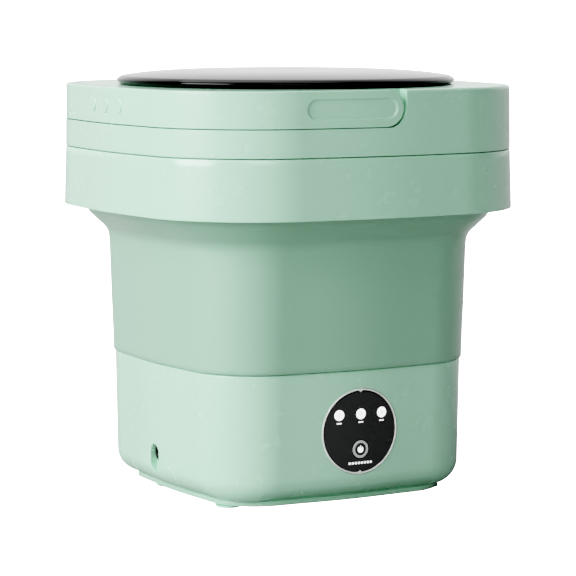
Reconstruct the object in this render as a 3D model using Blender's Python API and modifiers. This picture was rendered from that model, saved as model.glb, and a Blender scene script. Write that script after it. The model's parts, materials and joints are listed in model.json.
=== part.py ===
"""Portable mini washer with a folding tub: a rounded square base with the drive and the controls, a soft
wall that folds, a wide collar with a swing-up carry handle, and a round lift-off lid.

Metres, +Z up. The origin is on the floor under the centre. The control panel faces -Y."""

import math

import bmesh
import bpy
from mathutils import Matrix, Vector

# Clearances
GAP = 0.0003
SIDE_STEPS, CORNER_STEPS = 4, 6  # steps along each side and each corner of a rounded square

# Base: half width at the middle of a side, corner radius, outward bulge of the sides
BASE_HALF, BASE_CORNER, BASE_BULGE = 0.1123, 0.0461, 0.0055
BASE_TOP = 0.0985
BASE_WALL = 0.0024

# Bottom rounding: a quarter of an ellipse, whose corners grow sharper and sides straighter towards the bottom
ROUND_HALF, ROUND_OUT = 0.0852, 0.0258
ROUND_TOP, ROUND_UP = 0.0230, 0.0181
ROUND_CORNER, ROUND_BULGE = 0.0100, 0.0031
SIDE_CORNER = BASE_CORNER + ROUND_HALF + ROUND_OUT - BASE_HALF  # where the rounding meets the side
ROUND_TURNS = [math.radians(a) for a in (24, 38, 53, 71, 90)]

# Lip under the rounding, which the bottom cover fits into
LIP_HALF, LIP_CORNER, LIP_BULGE = 0.0950, 0.0340, 0.0035
LIP_WALL, LIP_TOP, LIP_INNER_TOP = 0.0019, 0.0062, 0.0085

# Bottom cover, feet and screws
COVER_LOW, COVER_HIGH = 0.0021, 0.0043
FOOT_X, FOOT_FRONT_Y, FOOT_REAR_Y, FOOT_RADIUS = 0.0830, -0.0655, 0.0300, 0.0095
FOOT_STEM_RADIUS, FOOT_TOP = 0.0030, 0.0060
SCREW_X, SCREW_Y = 0.052, 0.074

# Tub liner
FLOOR_LOW, FLOOR_HIGH = 0.0615, 0.0635
FLANGE_LOW, FLANGE_HIGH = 0.1006, 0.1026

# Collar
COLLAR_HALF, COLLAR_CORNER, COLLAR_BULGE = 0.1475, 0.0772, 0.0066
COLLAR_LOW, COLLAR_SEAM, COLLAR_HIGH = 0.2097, 0.2531, 0.2995
COLLAR_WALL = 0.0026
SHELF_LOW, SHELF_HIGH = 0.2163, 0.2187
MOUTH_RADIUS = 0.1180

# Handle: a band let into the collar's left side
HANDLE_LOW = 0.2734
HANDLE_THICK = 0.0090
PIVOT_Z = (HANDLE_LOW + COLLAR_HIGH) / 2
END_RADIUS = (COLLAR_HIGH - HANDLE_LOW) / 2
POCKET_DEPTH = 0.0098
POCKET_LOW = HANDLE_LOW - 0.0004
POCKET_END, POCKET_CORNER = 0.0152, 0.0135
PIN_RADIUS = 0.00245

# Lid
LID_RADIUS, LID_TOP = 0.1250, 0.3100
PLUG_RADIUS = 0.1155

# Control panel on the front face
PANEL_Z, PANEL_RADIUS = 0.0544, 0.0310
LENS_RADIUS = 0.0294
WINDOW_X, WINDOW_Z, WINDOW_RADIUS = 0.0175, 0.0670, 0.0039
BUTTON_Z, BUTTON_RADIUS = 0.0414, 0.0066

# Jack on the left face
JACK_Y, JACK_Z, JACK_RADIUS = -0.0022, 0.0315, 0.0063
JACK_BACK = -0.0943
RECESS_LOW_Z = 0.0235  # centre of the recess's lower round end

# Drive: pulsator shaft on the axis of the tub, motor beside it
MODULE, PRESSURE = 0.0015, math.radians(20)
GEAR_TEETH, PINION_TEETH = 36, 12
MOTOR_X = MODULE * (GEAR_TEETH + PINION_TEETH) / 2
GEAR_LOW, GEAR_HIGH = 0.0465, 0.0525
PLATE_LOW, PLATE_HIGH = 0.0400, 0.0425
SHAFT_RADIUS = 0.0040
MOTOR_SHAFT_RADIUS = 0.0024

# Drain at the rear
DRAIN_Y, DRAIN_Z = 0.072, 0.026
PLUG_Y = 0.1136  # outer face of the plug

for old in list(bpy.data.objects):
    bpy.data.objects.remove(old)


def new_collection(name):
    made = bpy.data.collections.new(name)
    bpy.context.scene.collection.children.link(made)
    return made


PARTS = new_collection("mini_washer")
CUTTERS = new_collection("cutters")
CUTTERS.hide_render = True


def material(name, colour, roughness, metallic=0.0):
    made = bpy.data.materials.new(name)
    made.use_nodes = True
    shader = made.node_tree.nodes["Principled BSDF"]
    shader.inputs["Base Color"].default_value = (*colour, 1.0)
    shader.inputs["Roughness"].default_value = roughness
    shader.inputs["Metallic"].default_value = metallic
    return made


MINT = material("mint_plastic", (0.50, 0.72, 0.58), 0.45)
SOFT_MINT = material("soft_mint_rubber", (0.38, 0.60, 0.46), 0.65)
BLACK_GLOSS = material("black_gloss", (0.006, 0.006, 0.007), 0.10)
BLACK = material("black_plastic", (0.015, 0.015, 0.016), 0.45)
WHITE = material("white_plastic", (0.80, 0.80, 0.78), 0.40)
TRIM = material("pale_trim", (0.62, 0.68, 0.64), 0.35)
GLOW = material("indicator_white", (0.90, 0.90, 0.90), 0.30)
RUBBER = material("dark_rubber", (0.02, 0.02, 0.02), 0.80)
STEEL = material("steel", (0.60, 0.60, 0.62), 0.30, 1.0)
BRONZE = material("bronze", (0.55, 0.38, 0.20), 0.40, 1.0)
BOARD = material("board_green", (0.02, 0.14, 0.05), 0.50)
COPPER_RED = material("red_insulation", (0.45, 0.03, 0.03), 0.50)


def add(name, mesh, look):
    """Links a mesh as a part if it has a look, and otherwise as a hidden cutter."""
    obj = bpy.data.objects.new(name, mesh)
    if look:
        obj.data.materials.append(look)
        PARTS.objects.link(obj)
    else:
        CUTTERS.objects.link(obj)
        obj.hide_render = True
        obj.display_type = "WIRE"
    return obj


def smooth(mesh, angle=35):
    mesh.shade_smooth()
    mesh.set_sharp_from_angle(angle=math.radians(angle))


def finished(name, bm, look, angle=35):
    mesh = bpy.data.meshes.new(name)
    bmesh.ops.recalc_face_normals(bm, faces=bm.faces)
    bm.to_mesh(mesh)
    bm.free()
    smooth(mesh, angle)
    return add(name, mesh, look)


# Outlines and lofts


def rounded_square(half, corner, bulge):
    """Points round a square with round corners whose sides bulge: half is the half width at mid side."""
    reach = half - bulge - corner
    points = []
    for side in range(4):
        turn = Matrix.Rotation(math.radians(90 * side), 2)
        for step in range(SIDE_STEPS):
            along = -reach + 2 * reach * step / SIDE_STEPS
            points.append(turn @ Vector((reach + corner, along)))
        for step in range(CORNER_STEPS):
            angle = math.radians(90 * step / CORNER_STEPS)
            arc = Vector((math.cos(angle), math.sin(angle))) * corner
            points.append(turn @ (Vector((reach, reach)) + arc))
    swollen = []
    for point in points:
        quarter = math.cos(2 * math.atan2(point.y, point.x)) ** 2
        swollen.append(point * (1 + bulge * quarter / point.length))
    return swollen


def base_loop(half, z):
    points = rounded_square(half, BASE_CORNER + half - BASE_HALF, BASE_BULGE)
    return [(p.x, p.y, z) for p in points]


def collar_loop(half, z):
    points = rounded_square(half, COLLAR_CORNER + half - COLLAR_HALF, COLLAR_BULGE)
    return [(p.x, p.y, z) for p in points]


def wall_loop(half, z):
    """A loop of the soft wall, whose corners grow from the base's radius to the collar's."""
    part = (half - BASE_HALF) / (COLLAR_HALF - BASE_HALF)
    corner = BASE_CORNER + part * (COLLAR_CORNER - BASE_CORNER)
    bulge = BASE_BULGE + part * (COLLAR_BULGE - BASE_BULGE)
    return [(p.x, p.y, z) for p in rounded_square(half, corner, bulge)]


def loft(name, loops, look=None, ring=False):
    """Skins loops of equal length. A ring joins the last loop to the first, anything else gets caps."""
    bm = bmesh.new()
    rows = [[bm.verts.new(point) for point in loop] for loop in loops]
    pairs = list(zip(rows, rows[1:]))
    if ring:
        pairs.append((rows[-1], rows[0]))
    for low, high in pairs:
        for i in range(len(low)):
            bm.faces.new((low[i - 1], low[i], high[i], high[i - 1]))
    if not ring:
        bm.faces.new(rows[0])
        bm.faces.new(rows[-1])
    return finished(name, bm, look)


def round_loop(turn, inset=0.0):
    """A loop of the bottom rounding, at a turn from straight down, drawn in by inset."""
    part = math.sin(turn)
    half = ROUND_HALF + (ROUND_OUT - inset) * part
    corner = ROUND_CORNER + (SIDE_CORNER - ROUND_CORNER - inset) * part
    bulge = ROUND_BULGE + (BASE_BULGE - ROUND_BULGE) * part
    z = ROUND_TOP - (ROUND_UP - inset) * math.cos(turn)
    return [(p.x, p.y, z) for p in rounded_square(half, corner, bulge)]


def lip_loop(inset, z):
    return [(p.x, p.y, z) for p in rounded_square(LIP_HALF - inset, LIP_CORNER - inset, LIP_BULGE)]


def base_block(name, inset):
    """The base's outside as a solid, drawn in (or, if negative, let out) by inset."""
    loops = [lip_loop(0, 0), lip_loop(0, LIP_TOP)] + [round_loop(turn, inset) for turn in ROUND_TURNS]
    return loft(name, loops + [base_loop(BASE_HALF - inset, BASE_TOP)])


# Primitives, turned shapes, flat outlines and tubes


def box(name, low, high, look=None):
    bm = bmesh.new()
    middle = [(a + b) / 2 for a, b in zip(low, high)]
    sides = [b - a for a, b in zip(low, high)]
    matrix = Matrix.Translation(middle) @ Matrix.Diagonal((*sides, 1))
    bmesh.ops.create_cube(bm, size=1, matrix=matrix)
    return finished(name, bm, look)


AXES = {
    "X": Matrix.Rotation(math.radians(90), 4, "Y"),
    "Y": Matrix.Rotation(math.radians(90), 4, "X"),
    "Z": Matrix.Identity(4),
}


def rod(name, radius, centre, length, axis="Z", look=None, sides=24):
    bm = bmesh.new()
    matrix = Matrix.Translation(centre) @ AXES[axis]
    bmesh.ops.create_cone(
        bm, cap_ends=True, segments=sides, radius1=radius, radius2=radius, depth=length, matrix=matrix
    )
    return finished(name, bm, look)


def upright_rod(name, radius, x, y, low, high, look=None, sides=24):
    return rod(name, radius, (x, y, (low + high) / 2), high - low, "Z", look, sides)


def turned(name, profile, look=None, steps=48, at=(0, 0, 0), axis="Z", closed=False):
    """Turns a profile of (radius, height), which runs down its outer side, round an axis."""
    mesh = bpy.data.meshes.new(name)
    edges = [(i, i + 1) for i in range(len(profile) - 1)]
    if closed:
        edges.append((len(profile) - 1, 0))
    mesh.from_pydata([(radius, 0, height) for radius, height in profile], edges, [])
    obj = add(name, mesh, look)
    obj.matrix_world = Matrix.Translation(at) @ AXES[axis]
    screw = obj.modifiers.new("turn", "SCREW")
    screw.steps = screw.render_steps = steps
    screw.use_merge_vertices = True
    screw.merge_threshold = 0.00005
    screw.use_smooth_shade = True
    return obj


def ring(name, inner, outer, low, high, look=None, steps=48, at=(0, 0, 0)):
    profile = [(outer, high), (outer, low), (inner, low), (inner, high)]
    return turned(name, profile, look, steps, at, closed=True)


def meshed(draft, name, look):
    """Turns a curve object into a mesh object with its caps welded on."""
    bpy.context.scene.collection.objects.link(draft)
    graph = bpy.context.evaluated_depsgraph_get()
    mesh = bpy.data.meshes.new_from_object(draft.evaluated_get(graph))
    bm = bmesh.new()
    bm.from_mesh(mesh)
    bmesh.ops.remove_doubles(bm, verts=bm.verts, dist=0.000001)
    bmesh.ops.recalc_face_normals(bm, faces=bm.faces)
    bm.to_mesh(mesh)
    bm.free()
    matrix = draft.matrix_world.copy()
    bpy.data.objects.remove(draft)
    mesh.materials.clear()
    smooth(mesh)
    obj = add(name, mesh, look)
    obj.matrix_world = matrix
    return obj


def slab(name, outlines, low, high, look=None, at=(0, 0, 0), axis="Z"):
    """A flat outline, with any holes as further outlines, from low to high along its axis."""
    curve = bpy.data.curves.new(name + "_outline", "CURVE")
    curve.dimensions = "2D"
    curve.fill_mode = "BOTH"
    curve.extrude = (high - low) / 2
    for points in outlines:
        spline = curve.splines.new("POLY")
        spline.points.add(len(points) - 1)
        for slot, (x, y) in zip(spline.points, points):
            slot.co = (x, y, 0, 1)
        spline.use_cyclic_u = True
    draft = bpy.data.objects.new(name + "_draft", curve)
    draft.matrix_world = Matrix.Translation(at) @ AXES[axis] @ Matrix.Translation((0, 0, (low + high) / 2))
    return meshed(draft, name, look)


def tube(name, route, radius, look, resolution=2, caps=True):
    """A round tube along a smooth curve through the route's points."""
    curve = bpy.data.curves.new(name + "_route", "CURVE")
    curve.dimensions = "3D"
    curve.bevel_depth = radius
    curve.bevel_resolution = resolution
    curve.use_fill_caps = caps
    points = smooth_route(route)
    spline = curve.splines.new("POLY")
    spline.points.add(len(points) - 1)
    for slot, point in zip(spline.points, points):
        slot.co = (*point, 1)
    return meshed(bpy.data.objects.new(name + "_draft", curve), name, look)


def smooth_route(route, steps=3):
    """Points on a Catmull-Rom curve through the route."""
    ends = [Vector(p) for p in (route[0], *route, route[-1])]
    points = []
    for before, a, b, after in zip(ends, ends[1:], ends[2:], ends[3:]):
        for step in range(steps):
            t = step / steps
            points.append(
                a
                + (b - before) * (t / 2)
                + (before * 2 - a * 5 + b * 4 - after) * (t * t / 2)
                + (a * 3 - before - b * 3 + after) * (t**3 / 2)
            )
    return points + [ends[-1]]


def circle(radius, x=0.0, y=0.0, sides=24):
    turns = [2 * math.pi * i / sides for i in range(sides)]
    return [(x + radius * math.cos(a), y + radius * math.sin(a)) for a in turns]


def obround(low, high, radius, steps=7):
    """A slot outline whose round ends are centred on two points of a plane."""
    low, high = Vector(low), Vector(high)
    along = (high - low).normalized() * radius
    points = []
    for centre, start in ((high, -90), (low, 90)):
        for step in range(steps + 1):
            turn = Matrix.Rotation(math.radians(start + 180 * step / steps), 2)
            points.append(tuple(centre + turn @ along))
    return points


def combine(obj, other, operation="DIFFERENCE"):
    change = obj.modifiers.new(other.name, "BOOLEAN")
    change.operation = operation
    change.solver = "EXACT"
    change.object = other
    return obj


# Base


def build_base_shell():
    lip = [lip_loop(0, COVER_LOW), lip_loop(0, LIP_TOP)]
    outside = [round_loop(turn) for turn in ROUND_TURNS]
    rim = [
        (BASE_HALF, BASE_TOP - 0.0010),
        (BASE_HALF - 0.0006, BASE_TOP),
        (BASE_HALF - BASE_WALL, BASE_TOP),
    ]
    inside = [round_loop(turn, BASE_WALL) for turn in ROUND_TURNS[:0:-1]]
    inside += [lip_loop(LIP_WALL, LIP_INNER_TOP), lip_loop(LIP_WALL, COVER_LOW)]
    loops = lip + outside + [base_loop(half, z) for half, z in rim] + inside
    shell = loft("base_shell", loops, MINT, ring=True)

    # Corner bosses for the cover screws, each tied to the wall by a rib
    for i, (x, y) in enumerate(corners(SCREW_X, SCREW_Y), 1):
        combine(shell, upright_rod(f"boss_{i}", 0.0045, x, y, 0.0047, 0.0300, sides=12), "UNION")
        far = math.copysign(0.1058, y)
        rib = box(f"rib_{i}", (x - 0.0011, min(y, far), 0.0180), (x + 0.0011, max(y, far), 0.0290))
        combine(shell, rib, "UNION")
        combine(shell, upright_rod(f"boss_bore_{i}", 0.0017, x, y, 0.0040, 0.0160, sides=8))

    # Recess for the jack: a pad inside the wall, an upright slot into it, and the jack's own hole
    pad = [(-JACK_Z, JACK_Y), (-RECESS_LOW_Z, JACK_Y)]
    backing = slab("jack_pad", [obround(*pad, 0.0085)], -0.1120, -0.1035, axis="X")
    combine(backing, base_block("jack_pad_limit", 0.0010), "INTERSECT")
    combine(shell, backing, "UNION")
    combine(shell, slab("jack_recess", [obround(*pad, JACK_RADIUS)], -0.1160, -0.1056, axis="X"))
    combine(shell, rod("jack_hole", JACK_RADIUS, (-0.105, JACK_Y, JACK_Z), 0.012, "X"))

    combine(shell, rod("panel_hole", PANEL_RADIUS + GAP, (0, -0.108, PANEL_Z), 0.020, "Y", sides=36))
    combine(shell, rod("drain_hole", 0.0081, (0, 0.108, DRAIN_Z), 0.020, "Y", sides=16))

    # Long shallow grip recess in the rounded front edge
    grip = obround((-0.0686, -0.0105), (0.0661, -0.0105), 0.0040)
    slot = slab("grip_slot", [grip], 0.090, 0.120, axis="Y")
    combine(slot, base_block("grip_floor", 0.0014))
    combine(shell, slot)
    return shell


def corners(x, y):
    return [(-x, -y), (x, -y), (x, y), (-x, y)]


def build_cover():
    inset = LIP_WALL + GAP
    section = [(inset + 0.0006, COVER_LOW), (inset, COVER_LOW + 0.0005), (inset, COVER_HIGH)]
    cover = loft("bottom_cover", [lip_loop(*spot) for spot in section], MINT)
    feet = [(x, y) for y in (FOOT_FRONT_Y, FOOT_REAR_Y) for x in (-FOOT_X, FOOT_X)]
    for i, (x, y) in enumerate(corners(SCREW_X, SCREW_Y), 1):
        combine(cover, upright_rod(f"screw_hole_{i}", 0.0019, x, y, 0.001, 0.006, sides=8))
    for i, (x, y) in enumerate(feet, 1):
        combine(cover, upright_rod(f"foot_hole_{i}", FOOT_STEM_RADIUS + GAP, x, y, 0.001, 0.006, sides=12))
    for i, (x, y) in enumerate(feet, 1):
        profile = [
            (0, FOOT_TOP),
            (FOOT_STEM_RADIUS, FOOT_TOP),
            (FOOT_STEM_RADIUS, COVER_LOW - GAP),
            (FOOT_RADIUS, COVER_LOW - GAP),
            (FOOT_RADIUS - 0.0004, 0),
            (0, 0),
        ]
        turned(f"foot_{i}", profile, SOFT_MINT, steps=12, at=(x, y, 0))
    for i, (x, y) in enumerate(corners(SCREW_X, SCREW_Y), 1):
        profile = [
            (0, 0.0140),
            (0.0014, 0.0140),
            (0.0014, 0.0018),
            (0.0028, 0.0018),
            (0.0028, 0.0008),
            (0, 0.0006),
        ]
        turned(f"cover_screw_{i}", profile, STEEL, steps=10, at=(x, y, 0))


def build_liner():
    sections = [
        (0.0830, FLOOR_LOW),
        (0.0940, 0.0655),
        (0.0985, 0.0770),
        (0.1000, FLANGE_LOW),
        (0.1115, FLANGE_LOW),
        (0.1115, FLANGE_HIGH),
        (0.0980, FLANGE_HIGH),
        (0.0965, 0.0778),
        (0.0927, 0.0673),
        (0.0825, FLOOR_HIGH),
    ]
    liner = loft("tub_liner", [base_loop(half, z) for half, z in sections], WHITE)
    combine(liner, upright_rod("hub", 0.0120, 0, 0, 0.0550, 0.0620), "UNION")
    combine(liner, upright_rod("bearing_bore", 0.0083, 0, 0, 0.0540, 0.0640))
    combine(liner, upright_rod("seal_pocket", 0.0103, 0, 0, 0.0612, 0.0640))
    combine(liner, upright_rod("drain_mouth", 0.0062, 0, DRAIN_Y, 0.0600, 0.0650))
    return liner


def build_soft_wall():
    """A thin flexible wall: a lip clamped under the liner's flange, a straight tapered run, and a flare
    that ends in a flange clamped inside the collar. It is 1.5 mm thick, so that it can turn inside out."""
    outside = [
        (0.1135, 0.0988),
        (0.1156, 0.1600),
        (0.1162, 0.1780),
        (0.1168, 0.1862),
        (0.1181, 0.1900),
        (0.1198, 0.1925),
        (0.1224, 0.1950),
        (0.1277, 0.2000),
        (0.1308, 0.2030),
        (0.1348, 0.2090),
        (0.1384, SHELF_HIGH + GAP),
        (0.1440, SHELF_HIGH + GAP),
    ]
    inside = [
        (0.1440, 0.2205),
        (0.1372, 0.2205),
        (0.1336, 0.2098),
        (0.1296, 0.2039),
        (0.1267, 0.2011),
        (0.1214, 0.1961),
        (0.1187, 0.1935),
        (0.1167, 0.1906),
        (0.1153, 0.1864),
        (0.1147, 0.1781),
        (0.1141, 0.1601),
        (0.1121, 0.1003),
        (0.1006, 0.1003),
        (0.1006, 0.0988),
    ]
    return loft("soft_wall", [wall_loop(half, z) for half, z in outside + inside], SOFT_MINT, ring=True)


# Control panel, jack and wires


def build_panel():
    proud = base_block("panel_face", -0.0004)
    flush = base_block("lens_face", 0.0)
    centre = (0, 0, PANEL_Z)

    outer = circle(PANEL_RADIUS, sides=36)
    inner = circle(LENS_RADIUS + GAP, sides=36)
    bezel = slab("panel_bezel", [outer, inner], 0.1070, 0.1200, TRIM, centre, "Y")
    combine(bezel, proud, "INTERSECT")

    # The outlines lie in the face's own plane: first x, then depth below the panel's centre
    holes = [circle(BUTTON_RADIUS + GAP, 0, PANEL_Z - BUTTON_Z)]
    spots = [(x, PANEL_Z - WINDOW_Z) for x in (-WINDOW_X, 0, WINDOW_X)]
    holes += [circle(WINDOW_RADIUS + 0.0002, x, y, 12) for x, y in spots]
    holes = [[(x, -y) for x, y in hole] for hole in holes]
    face = [circle(LENS_RADIUS, sides=36), *holes]
    lens = slab("panel_lens", face, 0.1095, 0.1200, BLACK_GLOSS, centre, "Y")
    combine(lens, flush, "INTERSECT")
    for i, (x, _) in enumerate(spots, 1):
        spot = (x, -0.1150, WINDOW_Z)
        window = rod(f"indicator_window_{i}", WINDOW_RADIUS, spot, 0.0100, "Y", GLOW, 12)
        combine(window, flush, "INTERSECT")
    button = rod("power_button", BUTTON_RADIUS, (0, -0.1150, BUTTON_Z), 0.0116, "Y", BLACK_GLOSS)
    combine(button, flush, "INTERSECT")

    rod("control_board", 0.0270, (0, -0.1052, PANEL_Z), 0.0016, "Y", BOARD)
    box("tact_switch", (-0.003, -0.1083, BUTTON_Z - 0.003), (0.003, -0.1063, BUTTON_Z + 0.003), BLACK)


def build_jack():
    """A barrel socket: a black sleeve with a blind hole and a centre pin."""
    profile = [
        (0, 0.0098),
        (0.0011, 0.0098),
        (0.0011, 0.0030),
        (0.0033, 0.0030),
        (0.0033, 0.0130),
        (0.0060, 0.0130),
        (0.0060, 0.0),
        (0, 0.0),
    ]
    jack = turned("dc_jack", profile, BLACK, steps=24)
    outward = Matrix.Rotation(math.radians(-90), 4, "Y")
    jack.matrix_world = Matrix.Translation((JACK_BACK, JACK_Y, JACK_Z)) @ outward


def build_wires():
    jack_route = [
        (JACK_BACK + 0.0006, JACK_Y, JACK_Z),
        (-0.0880, JACK_Y, 0.0290),
        (-0.0780, -0.0250, 0.0180),
        (-0.0600, -0.0480, 0.0130),
        (-0.0320, -0.0720, 0.0160),
        (-0.0150, -0.0960, 0.0320),
        (-0.0120, -0.1028, 0.0400),
    ]
    tube("jack_wire", jack_route, 0.0012, BLACK)
    motor_route = [
        (0.0120, -0.1028, 0.0400),
        (0.0150, -0.0980, 0.0340),
        (0.0250, -0.0800, 0.0180),
        (0.0330, -0.0500, 0.0090),
        (MOTOR_X, -0.0250, 0.0075),
        (MOTOR_X, -0.0100, 0.0085),
        (MOTOR_X, -0.0080, 0.0090),
    ]
    tube("motor_wire", motor_route, 0.0012, COPPER_RED)


# Drive


def involute(angle):
    return math.tan(angle) - angle


def gear_outline(teeth, turn):
    """Involute teeth, a little short and a little thin so that they run with play."""
    pitch = MODULE * teeth / 2
    base = pitch * math.cos(PRESSURE)
    tip, root = pitch + 0.75 * MODULE, pitch - 1.1 * MODULE
    half_at_pitch = math.pi / (2 * teeth) - 0.00012 / pitch

    def half_angle(radius):
        slope = math.acos(base / radius) if radius > base else 0
        return half_at_pitch + involute(PRESSURE) - involute(slope)

    radii = [root, pitch, tip] if root > base - 0.0001 else [root, base, pitch, tip]
    points = []
    for tooth in range(teeth):
        middle = turn + 2 * math.pi * tooth / teeth
        rise = [(radius, middle - half_angle(radius)) for radius in radii]
        fall = [(radius, middle + half_angle(radius)) for radius in reversed(radii)]
        points += [(r * math.cos(a), r * math.sin(a)) for r, a in rise + fall]
    return points


def build_drive():
    bore = circle(SHAFT_RADIUS + 0.0002)
    slab("output_gear", [gear_outline(GEAR_TEETH, 0), bore], GEAR_LOW, GEAR_HIGH, WHITE)
    pinion = [gear_outline(PINION_TEETH, math.pi / PINION_TEETH)]
    pinion.append(circle(MOTOR_SHAFT_RADIUS + 0.0002, sides=16))
    slab("pinion_gear", pinion, GEAR_LOW, GEAR_HIGH, STEEL, at=(MOTOR_X, 0, 0))

    upright_rod("drive_shaft", SHAFT_RADIUS, 0, 0, 0.0330, 0.0722, STEEL)
    ring("upper_bearing", SHAFT_RADIUS + 0.0002, 0.0080, 0.0552, 0.0605, BRONZE, 24)
    ring("lower_bearing", SHAFT_RADIUS + 0.0002, 0.0080, 0.0380, 0.0450, BRONZE, 24)
    ring("shaft_seal", SHAFT_RADIUS + 0.0003, 0.0100, 0.0615, 0.0655, RUBBER, 24)

    outline = [(-0.052, -0.038), (0.060, -0.038), (0.060, 0.038), (-0.052, 0.038)]
    holes = [circle(0.0083), circle(0.0040, MOTOR_X, 0, 16)]
    holes += [circle(0.0018, MOTOR_X, y, 8) for y in (-0.0125, 0.0125)]
    plate = slab("gearbox_plate", [outline, *holes], PLATE_LOW, PLATE_HIGH, STEEL)
    for i, (x, y) in enumerate(corners(0.044, 0.031), 1):
        post = upright_rod(f"post_{i}", 0.0042, x, y, PLATE_LOW + 0.001, FLOOR_LOW - GAP, sides=12)
        combine(plate, post, "UNION")


def build_motor():
    at = (MOTOR_X, 0, 0)
    can = [
        (0.0180, PLATE_LOW - GAP),
        (0.0180, 0.0125),
        (0.0166, 0.0125),
        (0.0166, 0.0382),
        (0.0036, 0.0382),
        (0.0036, PLATE_LOW - GAP),
    ]
    motor = turned("motor_can", can, STEEL, 24, at, closed=True)
    for i, y in enumerate((-0.0125, 0.0125), 1):
        combine(motor, upright_rod(f"can_bore_{i}", 0.0017, MOTOR_X, y, 0.0375, 0.0405, sides=9))
        profile = [
            (0, 0.0441),
            (0.0028, 0.0440),
            (0.0028, 0.0428),
            (0.0014, 0.0428),
            (0.0014, 0.0386),
            (0, 0.0386),
        ]
        turned(f"motor_screw_{i}", profile, STEEL, 10, (MOTOR_X, y, 0))
    upright_rod("motor_end_cap", 0.0180, MOTOR_X, 0, 0.0104, 0.0122, BLACK, 24)
    upright_rod("motor_shaft", MOTOR_SHAFT_RADIUS, MOTOR_X, 0, 0.0130, 0.0530, STEEL, 12)
    ring("rotor_core", MOTOR_SHAFT_RADIUS + 0.0002, 0.0130, 0.0160, 0.0340, STEEL, 24, at)


def build_pulsator():
    profile = [
        (0, 0.0752),
        (0.0080, 0.0752),
        (0.0200, 0.0712),
        (0.0580, 0.0688),
        (0.0620, 0.0676),
        (0.0620, 0.0664),
        (0, 0.0664),
    ]
    disc = turned("pulsator", profile, MINT, steps=36)
    for i in range(4):
        vane = box(f"vane_{i + 1}", (0.0090, -0.0030, 0.0670), (0.0575, 0.0030, 0.0775))
        bevel = vane.modifiers.new("crown", "BEVEL")
        bevel.width = 0.0022
        bevel.segments = 1
        vane.matrix_world = Matrix.Rotation(math.radians(45 + 90 * i), 4, "Z")
        combine(disc, vane, "UNION")
    combine(disc, upright_rod("pulsator_bore", SHAFT_RADIUS + 0.0002, 0, 0, 0.0650, 0.0725))
    combine(disc, upright_rod("pulsator_screw_bore", 0.0024, 0, 0, 0.0700, 0.0800, sides=16))
    cap = [
        (0, 0.0775),
        (0.0042, 0.0772),
        (0.0055, 0.0764),
        (0.0055, 0.0755),
        (0.0021, 0.0755),
        (0.0021, 0.0725),
        (0, 0.0725),
    ]
    turned("pulsator_screw", cap, STEEL, 16)


def build_drain():
    grille = [circle(0.0085, 0, DRAIN_Y)]
    grille += [circle(0.0011, x, DRAIN_Y + y, 8) for x, y in circle(0.0042, sides=6)]
    grille.append(circle(0.0011, 0, DRAIN_Y, 8))
    slab("drain_grille", grille, FLOOR_HIGH + GAP, FLOOR_HIGH + 0.0015, WHITE)

    route = [
        (0, DRAIN_Y, FLOOR_LOW - GAP),
        (0, DRAIN_Y, 0.0500),
        (0, DRAIN_Y, 0.0400),
        (0, DRAIN_Y + 0.0040, 0.0300),
        (0, DRAIN_Y + 0.0140, DRAIN_Z),
        (0, DRAIN_Y + 0.0240, DRAIN_Z),
        (0, 0.1085, DRAIN_Z),
    ]
    elbow = tube("drain_elbow", route, 0.0074, WHITE, caps=False)
    wall = elbow.modifiers.new("wall", "SOLIDIFY")
    wall.thickness = 0.0012
    wall.offset = -1

    profile = [
        (0, 0.0),
        (0.0090, 0.0),
        (0.0090, -0.0022),
        (0.0055, -0.0022),
        (0.0052, -0.0160),
        (0, -0.0160),
    ]
    plug = turned("drain_plug", profile, MINT, 24)
    rearward = Matrix.Rotation(math.radians(-90), 4, "X")
    plug.matrix_world = Matrix.Translation((0, PLUG_Y, DRAIN_Z)) @ rearward
    tab = box("plug_tab", (-0.0055, -0.0012, -0.0010), (0.0055, 0.0012, 0.0060))
    tab.matrix_world = plug.matrix_world
    combine(plug, tab, "UNION")


# Collar, handle and lid


def collar_edge():
    """The collar's rounded top edge, from the outside in, shared with the handle that lies flush in it."""
    return [(COLLAR_HALF, 0.2975), (COLLAR_HALF - 0.0006, 0.2989), (COLLAR_HALF - 0.0020, COLLAR_HIGH)]


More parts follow.
